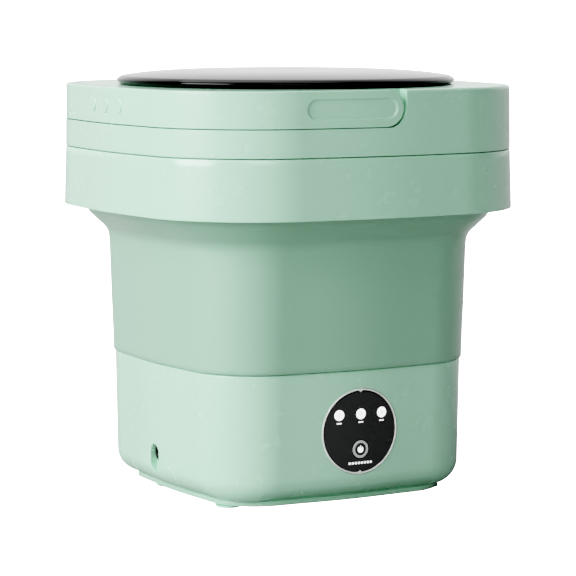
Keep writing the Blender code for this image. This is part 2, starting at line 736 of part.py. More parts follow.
def build_collar_body():
    tongue = COLLAR_HALF - COLLAR_WALL + 0.0002 - GAP
    sections = [(tongue, 0.2470), (tongue, COLLAR_SEAM + GAP), (COLLAR_HALF + 0.0005, COLLAR_SEAM + GAP)]
    body = loft("collar_body", [collar_loop(half, z) for half, z in sections + collar_edge()], MINT)

    # Hollow below the pocket's floor, hollow inside the pocket's wall, and hollow outside it on the right
    floor = POCKET_LOW - 0.0022
    inside = COLLAR_HALF - POCKET_DEPTH - 0.0022
    top = COLLAR_HIGH - 0.0030
    low_room = loft("low_room", [collar_loop(tongue - 0.0026, z) for z in (0.2400, floor)])
    inner_room = loft("inner_room", [collar_loop(inside, z) for z in (floor - 0.001, top)])
    side_room = loft("side_room", [collar_loop(COLLAR_HALF - COLLAR_WALL, z) for z in (floor - 0.001, top)])
    combine(side_room, box("side_room_end", (-0.20, -0.20, 0.25), (POCKET_END + 0.0026, 0.20, 0.31)))
    for room in (low_room, inner_room, side_room):
        combine(body, room)

    neck = ring("mouth_neck", MOUTH_RADIUS - 0.001, 0.1205, 0.2870, COLLAR_HIGH - 0.0010)
    combine(body, neck, "UNION")
    combine(body, upright_rod("mouth", MOUTH_RADIUS, 0, 0, 0.2700, 0.3100, sides=48))

    floor_half, beyond, above = COLLAR_HALF - POCKET_DEPTH, 0.165, 0.31
    section = [(floor_half, POCKET_LOW), (beyond, POCKET_LOW), (beyond, above), (floor_half, above)]
    pocket = loft("pocket", [collar_loop(half, z) for half, z in section], ring=True)
    corner = (POCKET_END - POCKET_CORNER, POCKET_LOW + POCKET_CORNER)
    turns = [math.radians(-90 + 90 * i / 6) for i in range(7)]
    arc = []
    for turn in turns:
        arc.append((corner[0] + POCKET_CORNER * math.cos(turn), corner[1] + POCKET_CORNER * math.sin(turn)))
    outline = [(-0.20, POCKET_LOW), *arc, (POCKET_END, 0.32), (-0.20, 0.32)]
    side = slab("pocket_side", [[(x, z) for x, z in outline]], -0.20, 0.20, axis="Y")
    combine(pocket, side, "INTERSECT")
    combine(body, pocket)
    for name, side in (("front", -1), ("rear", 1)):
        centre = (0, side * 0.1365, PIVOT_Z)
        combine(body, rod(f"pin_hole_{name}", PIN_RADIUS + 0.00015, centre, 0.006, "Y", sides=16))


def build_collar_rest():
    inner = COLLAR_HALF - COLLAR_WALL + 0.0004
    sections = [
        (0.1486, COLLAR_LOW),
        (0.1492, COLLAR_LOW + 0.0003),
        (0.1493, COLLAR_LOW + 0.0009),
        (COLLAR_HALF + 0.0005, COLLAR_SEAM - GAP),
        (inner - 0.0002, COLLAR_SEAM - GAP),
        (inner, SHELF_HIGH),
        (0.1399, SHELF_HIGH),
        (0.1399, SHELF_LOW),
        (inner, SHELF_LOW),
        (inner + 0.0010, COLLAR_LOW),
    ]
    loft("collar_skirt", [collar_loop(half, z) for half, z in sections], MINT, ring=True)
    clamp = [(0.1440, 0.2238), (0.1440, 0.2208), (0.1372, 0.2208), (0.1372, 0.2238)]
    loft("wall_clamp_ring", [collar_loop(half, z) for half, z in clamp], WHITE, ring=True)
    for name, side in (("front", -1), ("rear", 1)):
        profile = [
            (0, 0.1450),
            (PIN_RADIUS, 0.1450),
            (PIN_RADIUS, 0.1352),
            (0.0045, 0.1352),
            (0.0045, 0.1332),
            (0, 0.1332),
        ]
        pin = turned(f"pivot_pin_{name}", profile, STEEL, 16)
        outward = Matrix.Rotation(math.radians(-90 * side), 4, "X")
        pin.matrix_world = Matrix.Translation((0, 0, PIVOT_Z)) @ outward


def build_handle():
    outer = [(COLLAR_HALF, HANDLE_LOW + 0.0004)] + collar_edge()
    inner_half = COLLAR_HALF - HANDLE_THICK
    sections = [(COLLAR_HALF - 0.0004, HANDLE_LOW)] + outer
    sections += [(inner_half, COLLAR_HIGH), (inner_half, HANDLE_LOW)]
    handle = loft("carry_handle", [collar_loop(half, z) for half, z in sections], MINT, ring=True)

    # Keep the left side, with round ends about the pivot axis
    turns = [math.radians(-90 + 180 * i / 12) for i in range(13)]
    end = [(END_RADIUS * math.cos(a), PIVOT_Z + END_RADIUS * math.sin(a)) for a in turns]
    outline = [(-0.20, HANDLE_LOW - 0.001), (-0.001, HANDLE_LOW - 0.001), (-0.001, HANDLE_LOW), *end]
    outline += [(-0.001, COLLAR_HIGH), (-0.001, COLLAR_HIGH + 0.001), (-0.20, COLLAR_HIGH + 0.001)]
    combine(handle, slab("handle_side", [outline], -0.20, 0.20, axis="Y"), "INTERSECT")

    # A recessed panel on each arm and a blind bore for each pin
    panel = obround((-0.0543, PIVOT_Z), (0.0012, PIVOT_Z), 0.0068)
    for name, side in (("front", -1), ("rear", 1)):
        recess = slab(f"arm_recess_{name}", [panel], 0.1250, 0.1600, axis="Y")
        if side > 0:
            recess.matrix_world = Matrix.Diagonal((1, -1, 1, 1)) @ recess.matrix_world
        floor = loft(f"arm_floor_{name}", [collar_loop(COLLAR_HALF - 0.0007, z) for z in (0.27, 0.31)])
        combine(recess, floor)
        combine(handle, recess)
        centre = (0, side * 0.1405, PIVOT_Z)
        combine(handle, rod(f"pin_bore_{name}", PIN_RADIUS + 0.00015, centre, 0.0095, "Y", sides=16))


def build_lid():
    dome = [
        (0, LID_TOP),
        (0.0850, LID_TOP - 0.0007),
        (0.1100, LID_TOP - 0.0026),
        (0.1210, LID_TOP - 0.0042),
        (0.1235, LID_TOP - 0.0053),
        (LID_RADIUS, LID_TOP - 0.0071),
        (0.1225, COLLAR_HIGH + GAP),
        (0.1160, COLLAR_HIGH + GAP),
        (0.1160, 0.3050),
        (0, 0.3052),
    ]
    turned("lid_dome", dome, BLACK_GLOSS)
    ring("lid_plug_ring", 0.1125, PLUG_RADIUS, 0.2865, 0.3047, BLACK)
    ring("lid_gasket", PLUG_RADIUS + GAP, MOUTH_RADIUS - 0.0004, 0.2900, 0.2935, RUBBER)


def hang(name, place, *pieces):
    """Parents pieces that move together to an empty on their joint's axis, and leaves them where they are."""
    axis = bpy.data.objects.new(name, None)
    PARTS.objects.link(axis)
    axis.location = place
    for piece in pieces:
        bpy.data.objects[piece].parent = axis
        bpy.data.objects[piece].matrix_parent_inverse = Matrix.Translation(place).inverted()


def build_joints():
    hang(
        "wall_fold_axis",
        (0, 0, COLLAR_LOW),
        "collar_body",
        "collar_skirt",
        "wall_clamp_ring",
        "pivot_pin_front",
        "pivot_pin_rear",
    )
    hang("handle_swing_axis", (0, 0, PIVOT_Z), "carry_handle")
    hang("lid_lift_axis", (0, 0, COLLAR_HIGH), "lid_dome", "lid_plug_ring", "lid_gasket")
    hang("power_press_axis", (0, -0.1120, BUTTON_Z), "power_button")
    hang(
        "pulsator_spin_axis",
        (0, 0, 0.05),
        "pulsator",
        "pulsator_screw",
        "drive_shaft",
        "output_gear",
    )
    hang("rotor_spin_axis", (MOTOR_X, 0, 0.03), "motor_shaft", "rotor_core", "pinion_gear")
    hang("plug_pull_axis", (0, PLUG_Y, DRAIN_Z), "drain_plug")


build_base_shell()
build_cover()
build_liner()
build_soft_wall()
build_panel()
build_jack()
build_wires()
build_drive()
build_motor()
build_pulsator()
build_drain()
build_collar_body()
build_collar_rest()
build_handle()
build_lid()
build_joints()
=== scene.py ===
"""Looks of the portable mini washer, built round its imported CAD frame: fine skins for the base, the folding
wall, the collar, the handle and the lid, procedural materials, and a plain white studio."""

import json
import math

import bpy
import numpy as np
from mathutils import Matrix, Vector


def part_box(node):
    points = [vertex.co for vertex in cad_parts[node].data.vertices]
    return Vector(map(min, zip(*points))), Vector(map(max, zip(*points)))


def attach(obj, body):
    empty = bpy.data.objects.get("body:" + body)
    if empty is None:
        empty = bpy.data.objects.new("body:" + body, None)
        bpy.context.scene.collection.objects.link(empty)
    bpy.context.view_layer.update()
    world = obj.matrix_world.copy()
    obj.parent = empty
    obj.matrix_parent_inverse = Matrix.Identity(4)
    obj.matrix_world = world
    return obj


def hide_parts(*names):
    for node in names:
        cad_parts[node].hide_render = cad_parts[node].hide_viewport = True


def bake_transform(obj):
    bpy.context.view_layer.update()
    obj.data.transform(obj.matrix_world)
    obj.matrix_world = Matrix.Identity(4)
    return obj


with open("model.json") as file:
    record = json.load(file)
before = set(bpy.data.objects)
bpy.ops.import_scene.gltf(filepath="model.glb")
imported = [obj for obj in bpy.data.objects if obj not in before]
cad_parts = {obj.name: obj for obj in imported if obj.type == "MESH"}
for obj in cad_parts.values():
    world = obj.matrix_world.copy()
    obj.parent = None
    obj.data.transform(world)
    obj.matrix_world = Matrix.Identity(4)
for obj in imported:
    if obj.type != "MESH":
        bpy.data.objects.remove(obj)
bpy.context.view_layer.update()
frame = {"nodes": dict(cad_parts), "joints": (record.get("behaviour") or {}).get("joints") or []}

# ---------------------------------------------------------------- places, read from the frame


def low(node):
    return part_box(node)[0]


def high(node):
    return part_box(node)[1]


def middle(node):
    return (low(node) + high(node)) / 2


JOINTS = {joint["name"]: joint for joint in frame["joints"]}
GAP = 0.0003

# Base: half width at mid side, corner radius and outward bulge of the sides
BASE_HALF, BASE_CORNER, BASE_BULGE = high("base_shell").x, 0.0461, 0.0055
BASE_LOW, BASE_TOP = low("base_shell").z, high("base_shell").z
BASE_WALL = 0.0024

# Bottom rounding: a quarter of an ellipse, whose corners grow sharper and sides straighter towards the bottom
ROUND_HALF, ROUND_OUT = 0.0852, 0.0258
ROUND_TOP, ROUND_UP = 0.0230, 0.0181
ROUND_CORNER, ROUND_BULGE = 0.0100, 0.0031
SIDE_CORNER = BASE_CORNER + ROUND_HALF + ROUND_OUT - BASE_HALF
ROUND_START = math.radians(24)

# Lip under the rounding, which the bottom cover fits into
LIP_HALF, LIP_CORNER, LIP_BULGE = 0.0950, 0.0340, 0.0035
LIP_WALL, LIP_TOP, LIP_INNER_TOP = 0.0019, 0.0062, 0.0085
COVER_LOW, COVER_HIGH = low("bottom_cover").z, high("bottom_cover").z
GRIP_LEFT, GRIP_RIGHT, GRIP_Z, GRIP_RADIUS, GRIP_DEPTH = -0.0686, 0.0661, 0.0105, 0.0042, 0.0007

# Tub
FLOOR_LOW, FLOOR_HIGH = low("tub_liner").z + 0.0065, low("drain_grille").z - GAP
FLANGE_HIGH = high("tub_liner").z
FLANGE_LOW = FLANGE_HIGH - 0.0020
FLANGE_HALF = high("tub_liner").x

# Collar
COLLAR_HALF, COLLAR_CORNER, COLLAR_BULGE = -low("carry_handle").x, 0.0772, 0.0066
COLLAR_LOW, COLLAR_HIGH = low("collar_skirt").z, high("collar_body").z
SEAM_LOW = high("collar_skirt").z
SEAM_HIGH = SEAM_LOW + 2 * GAP
TONGUE_LOW = low("collar_body").z
COLLAR_WALL = 0.0026
SHELF_LOW, SHELF_HIGH = 0.2163, 0.2187
MOUTH_RADIUS = high("lid_gasket").x + 0.0004

# Handle, its pocket and its pivot
HANDLE_LOW = low("carry_handle").z
HANDLE_THICK = 0.0090
PIVOT_Z = JOINTS["handle_swing"]["pos_m"][2]
END_RADIUS = PIVOT_Z - HANDLE_LOW
POCKET_DEPTH, POCKET_LOW = 0.0098, HANDLE_LOW - 0.0004
POCKET_END, POCKET_CORNER = 0.0152, 0.0135
PIN_RADIUS = 0.0026

# Lid
LID_RADIUS, LID_TOP = high("lid_dome").x, high("lid_dome").z
PLUG_RADIUS = high("lid_plug_ring").x

# Control panel and jack
PANEL_Z = middle("panel_bezel").z
PANEL_RADIUS = (high("panel_bezel").x - low("panel_bezel").x) / 2
LENS_RADIUS = (high("panel_lens").x - low("panel_lens").x) / 2
BUTTON_Z = middle("power_button").z
BUTTON_RADIUS = (high("power_button").x - low("power_button").x) / 2
WINDOWS = [f"indicator_window_{i}" for i in (1, 2, 3)]
WINDOW_Z = middle(WINDOWS[1]).z
JACK_Y, JACK_Z = middle("dc_jack").y, middle("dc_jack").z
JACK_RADIUS = 0.0063
RECESS_LOW_Z, RECESS_FLOOR = 0.0235, -0.1056

# Drain
DRAIN_Y, DRAIN_Z = middle("drain_grille").y, middle("drain_plug").z


# ---------------------------------------------------------------- materials


class Look:
    """A Principled material and a few ways to add detail to it."""

    def __init__(self, name, colour, roughness, metallic=0.0, **sockets):
        self.material = bpy.data.materials.new(name)
        self.material.use_nodes = True
        self.nodes = self.material.node_tree.nodes
        self.links = self.material.node_tree.links
        self.shader = self.nodes["Principled BSDF"]
        self.shader.inputs["Base Color"].default_value = (*colour, 1)
        self.shader.inputs["Roughness"].default_value = roughness
        self.shader.inputs["Metallic"].default_value = metallic
        for socket, value in sockets.items():
            self.shader.inputs[socket.replace("_", " ")].default_value = value
        self.place = self.nodes.new("ShaderNodeTexCoord").outputs["Object"]
        self.bumped = None

    def stretched(self, scale):
        node = self.nodes.new("ShaderNodeMapping")
        node.inputs["Scale"].default_value = scale
        self.links.new(self.place, node.inputs["Vector"])
        return node.outputs["Vector"]

    def noise(self, scale, detail=3.0, roughness=0.55, stretch=None):
        node = self.nodes.new("ShaderNodeTexNoise")
        node.inputs["Scale"].default_value = scale
        node.inputs["Detail"].default_value = detail
        node.inputs["Roughness"].default_value = roughness
        place = self.stretched(stretch) if stretch else self.place
        self.links.new(place, node.inputs["Vector"])
        return node.outputs["Fac"]

    def cells(self, scale, feature="F1"):
        node = self.nodes.new("ShaderNodeTexVoronoi")
        node.feature = feature
        node.inputs["Scale"].default_value = scale
        self.links.new(self.place, node.inputs["Vector"])
        return node.outputs["Distance"]

    def ranged(self, value, from_low, from_high, to_low, to_high):
        node = self.nodes.new("ShaderNodeMapRange")
        for socket, number in zip(
            ("From Min", "From Max", "To Min", "To Max"), (from_low, from_high, to_low, to_high)
        ):
            node.inputs[socket].default_value = number
        self.links.new(value, node.inputs["Value"])
        return node.outputs["Result"]

    def tint(self, value, other, from_low=0.35, from_high=0.65):
        """Mixes the colour so far with another by a value."""
        node = self.nodes.new("ShaderNodeMix")
        node.data_type = "RGBA"
        self.links.new(self.ranged(value, from_low, from_high, 0, 1), node.inputs["Factor"])
        socket = self.shader.inputs["Base Color"]
        if socket.is_linked:
            self.links.new(socket.links[0].from_socket, node.inputs[6])
        else:
            node.inputs[6].default_value = socket.default_value
        node.inputs[7].default_value = (*other, 1)
        self.links.new(node.outputs[2], socket)
        return self

    def rough(self, value, low_rough, high_rough, from_low=0.3, from_high=0.7):
        self.links.new(
            self.ranged(value, from_low, from_high, low_rough, high_rough), self.shader.inputs["Roughness"]
        )
        return self

    def bump(self, value, depth, strength=1.0):
        """Adds relief of a depth in metres, on top of any relief so far."""
        node = self.nodes.new("ShaderNodeBump")
        node.inputs["Distance"].default_value = depth
        node.inputs["Strength"].default_value = strength
        self.links.new(value, node.inputs["Height"])
        if self.bumped:
            self.links.new(self.bumped, node.inputs["Normal"])
        self.bumped = node.outputs["Normal"]
        self.links.new(self.bumped, self.shader.inputs["Normal"])
        return self

    def painted_edge_highlight(self, lighter, low_point=0.52, high_point=0.60):
        """Lightens sharp outer edges a little by their pointiness: a painted highlight along them."""
        point = self.nodes.new("ShaderNodeNewGeometry").outputs["Pointiness"]
        return self.tint(point, lighter, low_point, high_point)


def lighter(colour, by):
    return tuple(min(1.0, c * by) for c in colour)


def moulded(name, colour, roughness, grain=1500, depth=0.000006, **sockets):
    """Satin injection-moulded plastic: a fine spark-eroded grain, and faint patches of colour and gloss."""
    look = Look(name, colour, roughness, **sockets)
    look.tint(look.noise(9, 4), lighter(colour, 0.994))
    look.tint(look.noise(240, 2), lighter(colour, 1.008), 0.45, 0.75)
    look.rough(look.noise(60, 4), roughness - 0.02, roughness + 0.02)
    look.bump(look.noise(grain, 2), depth)
    return look


def mint_look():
    colour = (0.470, 0.735, 0.570)
    look = moulded("mint_plastic", colour, 0.26, Coat_Weight=0.45, Coat_Roughness=0.08)
    # The lighter sharp edges are a painted highlight.
    return look.painted_edge_highlight(lighter(colour, 1.03)).material


def soft_look():
    colour = (0.330, 0.530, 0.402)
    look = Look("soft_mint_elastomer", colour, 0.36, Coat_Weight=0.55, Coat_Roughness=0.10)
    look.tint(look.noise(14, 4), lighter(colour, 0.99))
    look.tint(look.noise(400, 3), lighter(colour, 1.012), 0.45, 0.75)
    look.rough(look.noise(90, 4), 0.33, 0.39)
    look.bump(look.noise(900, 3), 0.000008)
    return look.material


def gloss_look():
    look = Look("black_gloss", (0.0030, 0.0027, 0.0031), 0.07)
    look.tint(look.noise(700, 2), (0.006, 0.006, 0.006), 0.60, 0.80)
    look.rough(look.noise(35, 5), 0.05, 0.11)
    look.bump(look.noise(60, 2), 0.00001, 0.4)
    return look.material


def panel_look():
    """Smoked acrylic over a black mask, a little softer than the lid's gloss."""
    look = Look("panel_black", (0.080, 0.080, 0.081), 0.22, Coat_Weight=0.15, Coat_Roughness=0.10)
    look.tint(look.noise(900, 2), (0.088, 0.088, 0.088), 0.55, 0.80)
    look.rough(look.noise(120, 4), 0.18, 0.28)
    look.bump(look.noise(800, 2), 0.000004)
    return look.material


def steel_look():
    look = Look("turned_steel", (0.58, 0.58, 0.60), 0.30, 1.0)
    look.tint(look.noise(40, 4), (0.46, 0.46, 0.48))
    look.rough(look.noise(500, 3, stretch=(0.05, 0.05, 1)), 0.22, 0.42)
    look.bump(look.noise(900, 2, stretch=(0.04, 0.04, 1)), 0.00002)
    return look.material


def bronze_look():
    look = Look("sintered_bronze", (0.52, 0.33, 0.17), 0.42, 1.0)
    look.tint(look.cells(2600), (0.30, 0.19, 0.10), 0.55, 0.20)
    look.rough(look.noise(400, 3), 0.34, 0.55)
    look.bump(look.cells(2600), 0.00005)
    return look.material


def board_look():
    look = Look("circuit_board", (0.015, 0.120, 0.045), 0.38)
    look.tint(look.noise(260, 1, stretch=(1, 1, 0.12)), (0.030, 0.190, 0.070), 0.52, 0.54)
    look.tint(look.cells(420), (0.52, 0.50, 0.46), 0.14, 0.12)
    look.bump(look.cells(420), 0.00010, 0.4)
    return look.material


def rubber_look(name, colour, roughness):
    look = Look(name, colour, roughness)
    look.tint(look.noise(120, 4), lighter(colour, 1.5))
    look.rough(look.noise(200, 3), roughness - 0.08, roughness + 0.08)
    look.bump(look.noise(1100, 3), 0.00005)
    return look.material


def print_look(name, colour, glow=0.0):
    """Screen-printed ink: faintly uneven and matte. Where it glows, the glow is painted light that keeps the ink
    bright on the dimly lit front.
    """
    look = Look(name, colour, 0.45, Emission_Color=(1, 1, 1, 1), Emission_Strength=glow)
    look.tint(look.noise(1200, 3), lighter(colour, 0.90))
    look.rough(look.noise(600, 2), 0.38, 0.55)
    look.bump(look.noise(2200, 2), 0.00001)
    return look.material


def window_look():
    """Milky light guides over the indicator lamps. Their faint glow is painted light that keeps them white on the
    dimly lit front.
    """
    look = Look("indicator_white", (0.86, 0.86, 0.86), 0.30, Subsurface_Weight=0.1, Subsurface_Scale=0.001,
                Emission_Color=(1, 1, 1, 1), Emission_Strength=0.45)
    look.tint(look.noise(500, 3), (0.78, 0.78, 0.79))
    look.rough(look.noise(300, 2), 0.24, 0.38)
    look.bump(look.noise(900, 2), 0.00001)
    return look.material


MINT = mint_look()
SOFT_MINT = soft_look()
BLACK_GLOSS = gloss_look()
PANEL_BLACK = panel_look()
BLACK = moulded("black_plastic", (0.018, 0.018, 0.019), 0.42, 1200, 0.00003).material
WHITE = moulded("white_plastic", (0.76, 0.77, 0.75), 0.36, 1100, 0.00002).material
TRIM = moulded("pale_trim", (0.86, 0.90, 0.87), 0.28, 1400, 0.00001).material
# The windows' faint glow is painted light.
WINDOW = window_look()
# The white and grey prints glow a little: painted light that keeps them bright on the dim front.
WHITE_INK = print_look("white_print", (0.88, 0.88, 0.88), 0.30)
GREY_INK = print_look("grey_print", (0.70, 0.70, 0.70), 0.22)
RING_INK = print_look("ring_print", (0.66, 0.67, 0.66))
DARK_RUBBER = rubber_look("dark_rubber", (0.016, 0.016, 0.016), 0.72)
MINT_RUBBER = rubber_look("mint_rubber", (0.40, 0.64, 0.49), 0.60)
RED_WIRE = rubber_look("red_insulation", (0.40, 0.025, 0.025), 0.45)
STEEL = steel_look()
BRONZE = bronze_look()
BOARD = board_look()


# ---------------------------------------------------------------- mesh tools


def mesh_object(name, points, faces, look, sharp=50):
    """A smooth-shaded object with its faces pointing out, creased where they meet at more than an angle."""
    mesh = bpy.data.meshes.new(name)
    points = np.asarray(points, float).reshape(-1, 3)
    corners = np.array([[f[0], f[i], f[i + 1]] for f in faces for i in range(1, len(f) - 1)])
    a, b, c = (points[corners[:, i]] for i in range(3))
    if np.einsum("ij,ij->i", a, np.cross(b, c)).sum() < 0:
        faces = [tuple(reversed(f)) for f in faces]
    mesh.from_pydata(points.tolist(), [], [tuple(map(int, f)) for f in faces])
    obj = bpy.data.objects.new(name, mesh)
    bpy.context.scene.collection.objects.link(obj)
    if look:
        mesh.materials.append(look)
    creased(obj, sharp)
    return obj


def creased(obj, sharp=50):
    obj.data.shade_smooth()
    obj.data.set_sharp_from_angle(angle=math.radians(sharp))
    return obj


def skin(name, rows, look=None, wrap_columns=True, wrap_rows=True, sharp=50):
    """Joins rows of equal length with quads. A direction that doesn't wrap gets an end cap at each end."""
    rows = np.array(rows)
    count, width, _ = rows.shape
    index = np.arange(count * width).reshape(count, width)
    under = index if wrap_rows else index[:-1]
    over = np.roll(index, -1, 0) if wrap_rows else index[1:]
    if wrap_columns:
        quads = np.stack([under, np.roll(under, -1, 1), np.roll(over, -1, 1), over], -1)
    else:
        quads = np.stack([under[:, :-1], under[:, 1:], over[:, 1:], over[:, :-1]], -1)
    faces = quads.reshape(-1, 4).tolist()
    if not wrap_rows:
        faces += [index[0, ::-1].tolist(), index[-1].tolist()]
    if not wrap_columns:
        faces += [index[:, 0].tolist(), index[::-1, -1].tolist()]
    return mesh_object(name, rows, faces, look, sharp)


def turned(name, profile, look=None, at=(0, 0, 0), towards=(0, 0, 1), steps=96, sharp=35):
    """Turns a profile of (radius, height) round an axis. It ends on the axis, or joins its first point."""
    on_axis = profile[0][0] == 0
    body = [p for p in profile if p[0] > 0]
    angles = np.arange(steps) * 2 * math.pi / steps
    rows = [np.column_stack([r * np.cos(angles), r * np.sin(angles), np.full(steps, z)]) for r, z in body]
    obj = skin(name, rows, look, wrap_rows=not on_axis, sharp=sharp)
    turn = Vector((0, 0, 1)).rotation_difference(Vector(towards)).to_matrix().to_4x4()
    obj.data.transform(Matrix.Translation(at) @ turn)
    return obj


def drill(name, radius, near, far, at, towards, steps):
    """A plain cylinder for cutting, from near to far along its axis."""
    return turned(name, [(0, near), (radius, near), (radius, far), (0, far)], None, at, towards, steps)


def rounded(corners, radius, steps=5):
    """A closed outline with its corners rounded. Each corner is (a, b) or, with its own radius, (a, b, radius)."""
    points = []
    count = len(corners)
    for i, corner in enumerate(corners):
        here = np.array(corner[:2], float)
        before = np.array(corners[i - 1][:2], float) - here
        after = np.array(corners[(i + 1) % count][:2], float) - here
        size = corner[2] if len(corner) > 2 else radius
        if size == 0:
            points.append(tuple(here))
            continue
        to_before, to_after = before / np.linalg.norm(before), after / np.linalg.norm(after)
        half = math.acos(np.clip(to_before @ to_after, -1, 1)) / 2
        reach = min(size / math.tan(half), 0.49 * min(np.linalg.norm(before), np.linalg.norm(after)))
        start, end = here + to_before * reach, here + to_after * reach
        for k in np.linspace(0, 1, steps + 1):
            points.append(tuple((1 - k) ** 2 * start + 2 * k * (1 - k) * here + k**2 * end))
    return points


def spread(a, b, spacing):
    """Points from a to b, without b, about spacing apart."""
    a, b = np.array(a, float), np.array(b, float)
    steps = max(1, round(np.linalg.norm(b - a) / spacing))
    return [tuple(a + (b - a) * i / steps) for i in range(steps)]


def curved(points, steps=6):
    """Points on a smooth curve through the given ones."""
    points = [np.array(p, float) for p in points]
    ends = [2 * points[0] - points[1], *points, 2 * points[-1] - points[-2]]
    made = []
    for before, a, b, after in zip(ends, ends[1:], ends[2:], ends[3:]):
        for t in np.arange(steps) / steps:
            made.append(
                a
                + (b - before) * (t / 2)
                + (before * 2 - a * 5 + b * 4 - after) * (t * t / 2)
                + (a * 3 - before - b * 3 + after) * (t**3 / 2)
            )
    return [tuple(p) for p in [*made, points[-1]]]


def cut(obj, *cutters, operation="DIFFERENCE"):
    """Applies Booleans and removes the cutters."""
    for cutter in cutters:
        change = obj.modifiers.new("cut", "BOOLEAN")
        change.operation, change.solver, change.object = operation, "EXACT", cutter
    graph = bpy.context.evaluated_depsgraph_get()
    mesh = bpy.data.meshes.new_from_object(obj.evaluated_get(graph))
    obj.modifiers.clear()
    old, obj.data = obj.data, mesh
    bpy.data.meshes.remove(old)
    for cutter in cutters:
        bpy.data.objects.remove(cutter)
    return creased(obj)


def piece(obj, body, slot, *replaced):
    """Puts a finished mesh on its body and hides the CAD parts it replaces. slot is not used."""
    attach(obj, body)
    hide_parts(*replaced)
    return obj


# ---------------------------------------------------------------- rounded squares


def stations(*runs):
    """Places round a rounded square from runs of (start, end, steps): 0, 1, 2 and 3 start its +X, +Y, -X and -Y
    sides, and the half after each is where that side's corner starts."""
    return np.concatenate([np.linspace(start, end, steps, endpoint=False) for start, end, steps in runs])


def even_stations(along_side, along_corner):
    runs = [[(k, k + 0.5, along_side), (k + 0.5, k + 1, along_corner)] for k in range(4)]
    return stations(*(run for pair in runs for run in pair))


def outline(half, corner, bulge, places):
    """(n, 2) points of a rounded square whose sides bulge, at the given places."""
    places = np.mod(places, 4)
    side = np.floor(places)
    part = places - side
    reach = half - bulge - corner
    angle = np.where(part < 0.5, 0, (part - 0.5) * math.pi)
    x = reach + corner * np.cos(angle)
    y = np.where(part < 0.5, -reach + 4 * reach * part, reach) + corner * np.sin(angle)
    turn = side * math.pi / 2
    x, y = x * np.cos(turn) - y * np.sin(turn), x * np.sin(turn) + y * np.cos(turn)
    swell = 1 + bulge * np.cos(2 * np.arctan2(y, x)) ** 2 / np.hypot(x, y)
    return np.column_stack([x * swell, y * swell])


def raised(flat, z):
    return np.column_stack([flat, np.broadcast_to(z, len(flat))])


def base_loop(half, z, places):
    return raised(outline(half, BASE_CORNER + half - BASE_HALF, BASE_BULGE, places), z)


def round_loop(turn, places, inset=0.0):
    """A loop of the base's bottom rounding, at a turn from straight down, drawn in by inset."""
    part = math.sin(turn)
    half = ROUND_HALF + (ROUND_OUT - inset) * part
    corner = ROUND_CORNER + (SIDE_CORNER - ROUND_CORNER - inset) * part
    bulge = ROUND_BULGE + (BASE_BULGE - ROUND_BULGE) * part
    return raised(outline(half, corner, bulge, places), ROUND_TOP - (ROUND_UP - inset) * math.cos(turn))


def lip_loop(inset, z, places):
    return raised(outline(LIP_HALF - inset, LIP_CORNER - inset, LIP_BULGE, places), z)


def collar_loop(half, z, places):
    return raised(outline(half, COLLAR_CORNER + half - COLLAR_HALF, COLLAR_BULGE, places), z)


def wall_loop(half, z, places):
    """A loop of the soft wall, whose corners grow from the base's radius to the collar's."""
    part = (half - BASE_HALF) / (COLLAR_HALF - BASE_HALF)
    corner = BASE_CORNER + part * (COLLAR_CORNER - BASE_CORNER)
    bulge = BASE_BULGE + part * (COLLAR_BULGE - BASE_BULGE)
    return raised(outline(half, corner, bulge, places), z)


def to_circle(loop, radius, part):
    """A loop part of the way to the circle of a radius, point by point."""
    ring = loop[:, :2] / np.linalg.norm(loop[:, :2], axis=1)[:, None] * radius
    return raised(loop[:, :2] * (1 - part) + ring * part, loop[:, 2])


def sunk(rows, depth, wrap=True):
    """Pushes an outer skin's points in along its normals by depth(x, y, z)."""
    rows = np.array(rows)
    across = np.roll(rows, -1, 1) - np.roll(rows, 1, 1) if wrap else np.gradient(rows, axis=1)
    normal = np.cross(across, np.gradient(rows, axis=0))
    normal /= np.maximum(np.linalg.norm(normal, axis=2, keepdims=True), 1e-12)
    return rows - normal * depth(*np.moveaxis(rows, 2, 0))[..., None]


def from_line(u, v, start, end):
    """Distance of (u, v) from a straight line between two points."""
    start, end = np.array(start, float), np.array(end, float)
    along = end - start
    t = np.clip(((u - start[0]) * along[0] + (v - start[1]) * along[1]) / (along @ along), 0, 1)
    return np.hypot(u - start[0] - t * along[0], v - start[1] - t * along[1])


def eased(distance, width):
    """1 well inside an edge and 0 well outside it, with a smooth step of that width across it."""
    t = np.clip(0.5 - distance / width, 0, 1)
    return t * t * (3 - 2 * t)


def base_outer_half(z):
    """Half width of the base's outside at a height above the bottom rounding."""
    widest = ROUND_HALF + ROUND_OUT
    return widest + (np.asarray(z, float) - ROUND_TOP) / (BASE_TOP - ROUND_TOP) * (BASE_HALF - widest)


FRONT_LINE = outline(BASE_HALF, BASE_CORNER, BASE_BULGE, np.linspace(3, 3.4999, 200))


def front_y(x, z):
    """Y of the base's front face at a point near the middle of that face."""
    return np.interp(x, FRONT_LINE[:, 0], FRONT_LINE[:, 1]) + BASE_HALF - base_outer_half(z)


# ---------------------------------------------------------------- base


def base_places():
    jack_from, jack_to = 2.175, 2.300
    return stations(
        (0, 0.5, 24),
        (0.5, 1, 24),
        (1, 1.5, 36),
        (1.5, 2, 24),
        (2, jack_from, 14),
        (jack_from, jack_to, 48),
        (jack_to, 2.5, 12),
        (2.5, 3, 84),
        (3, 3.5, 84),
        (3.5, 4, 84),
    )


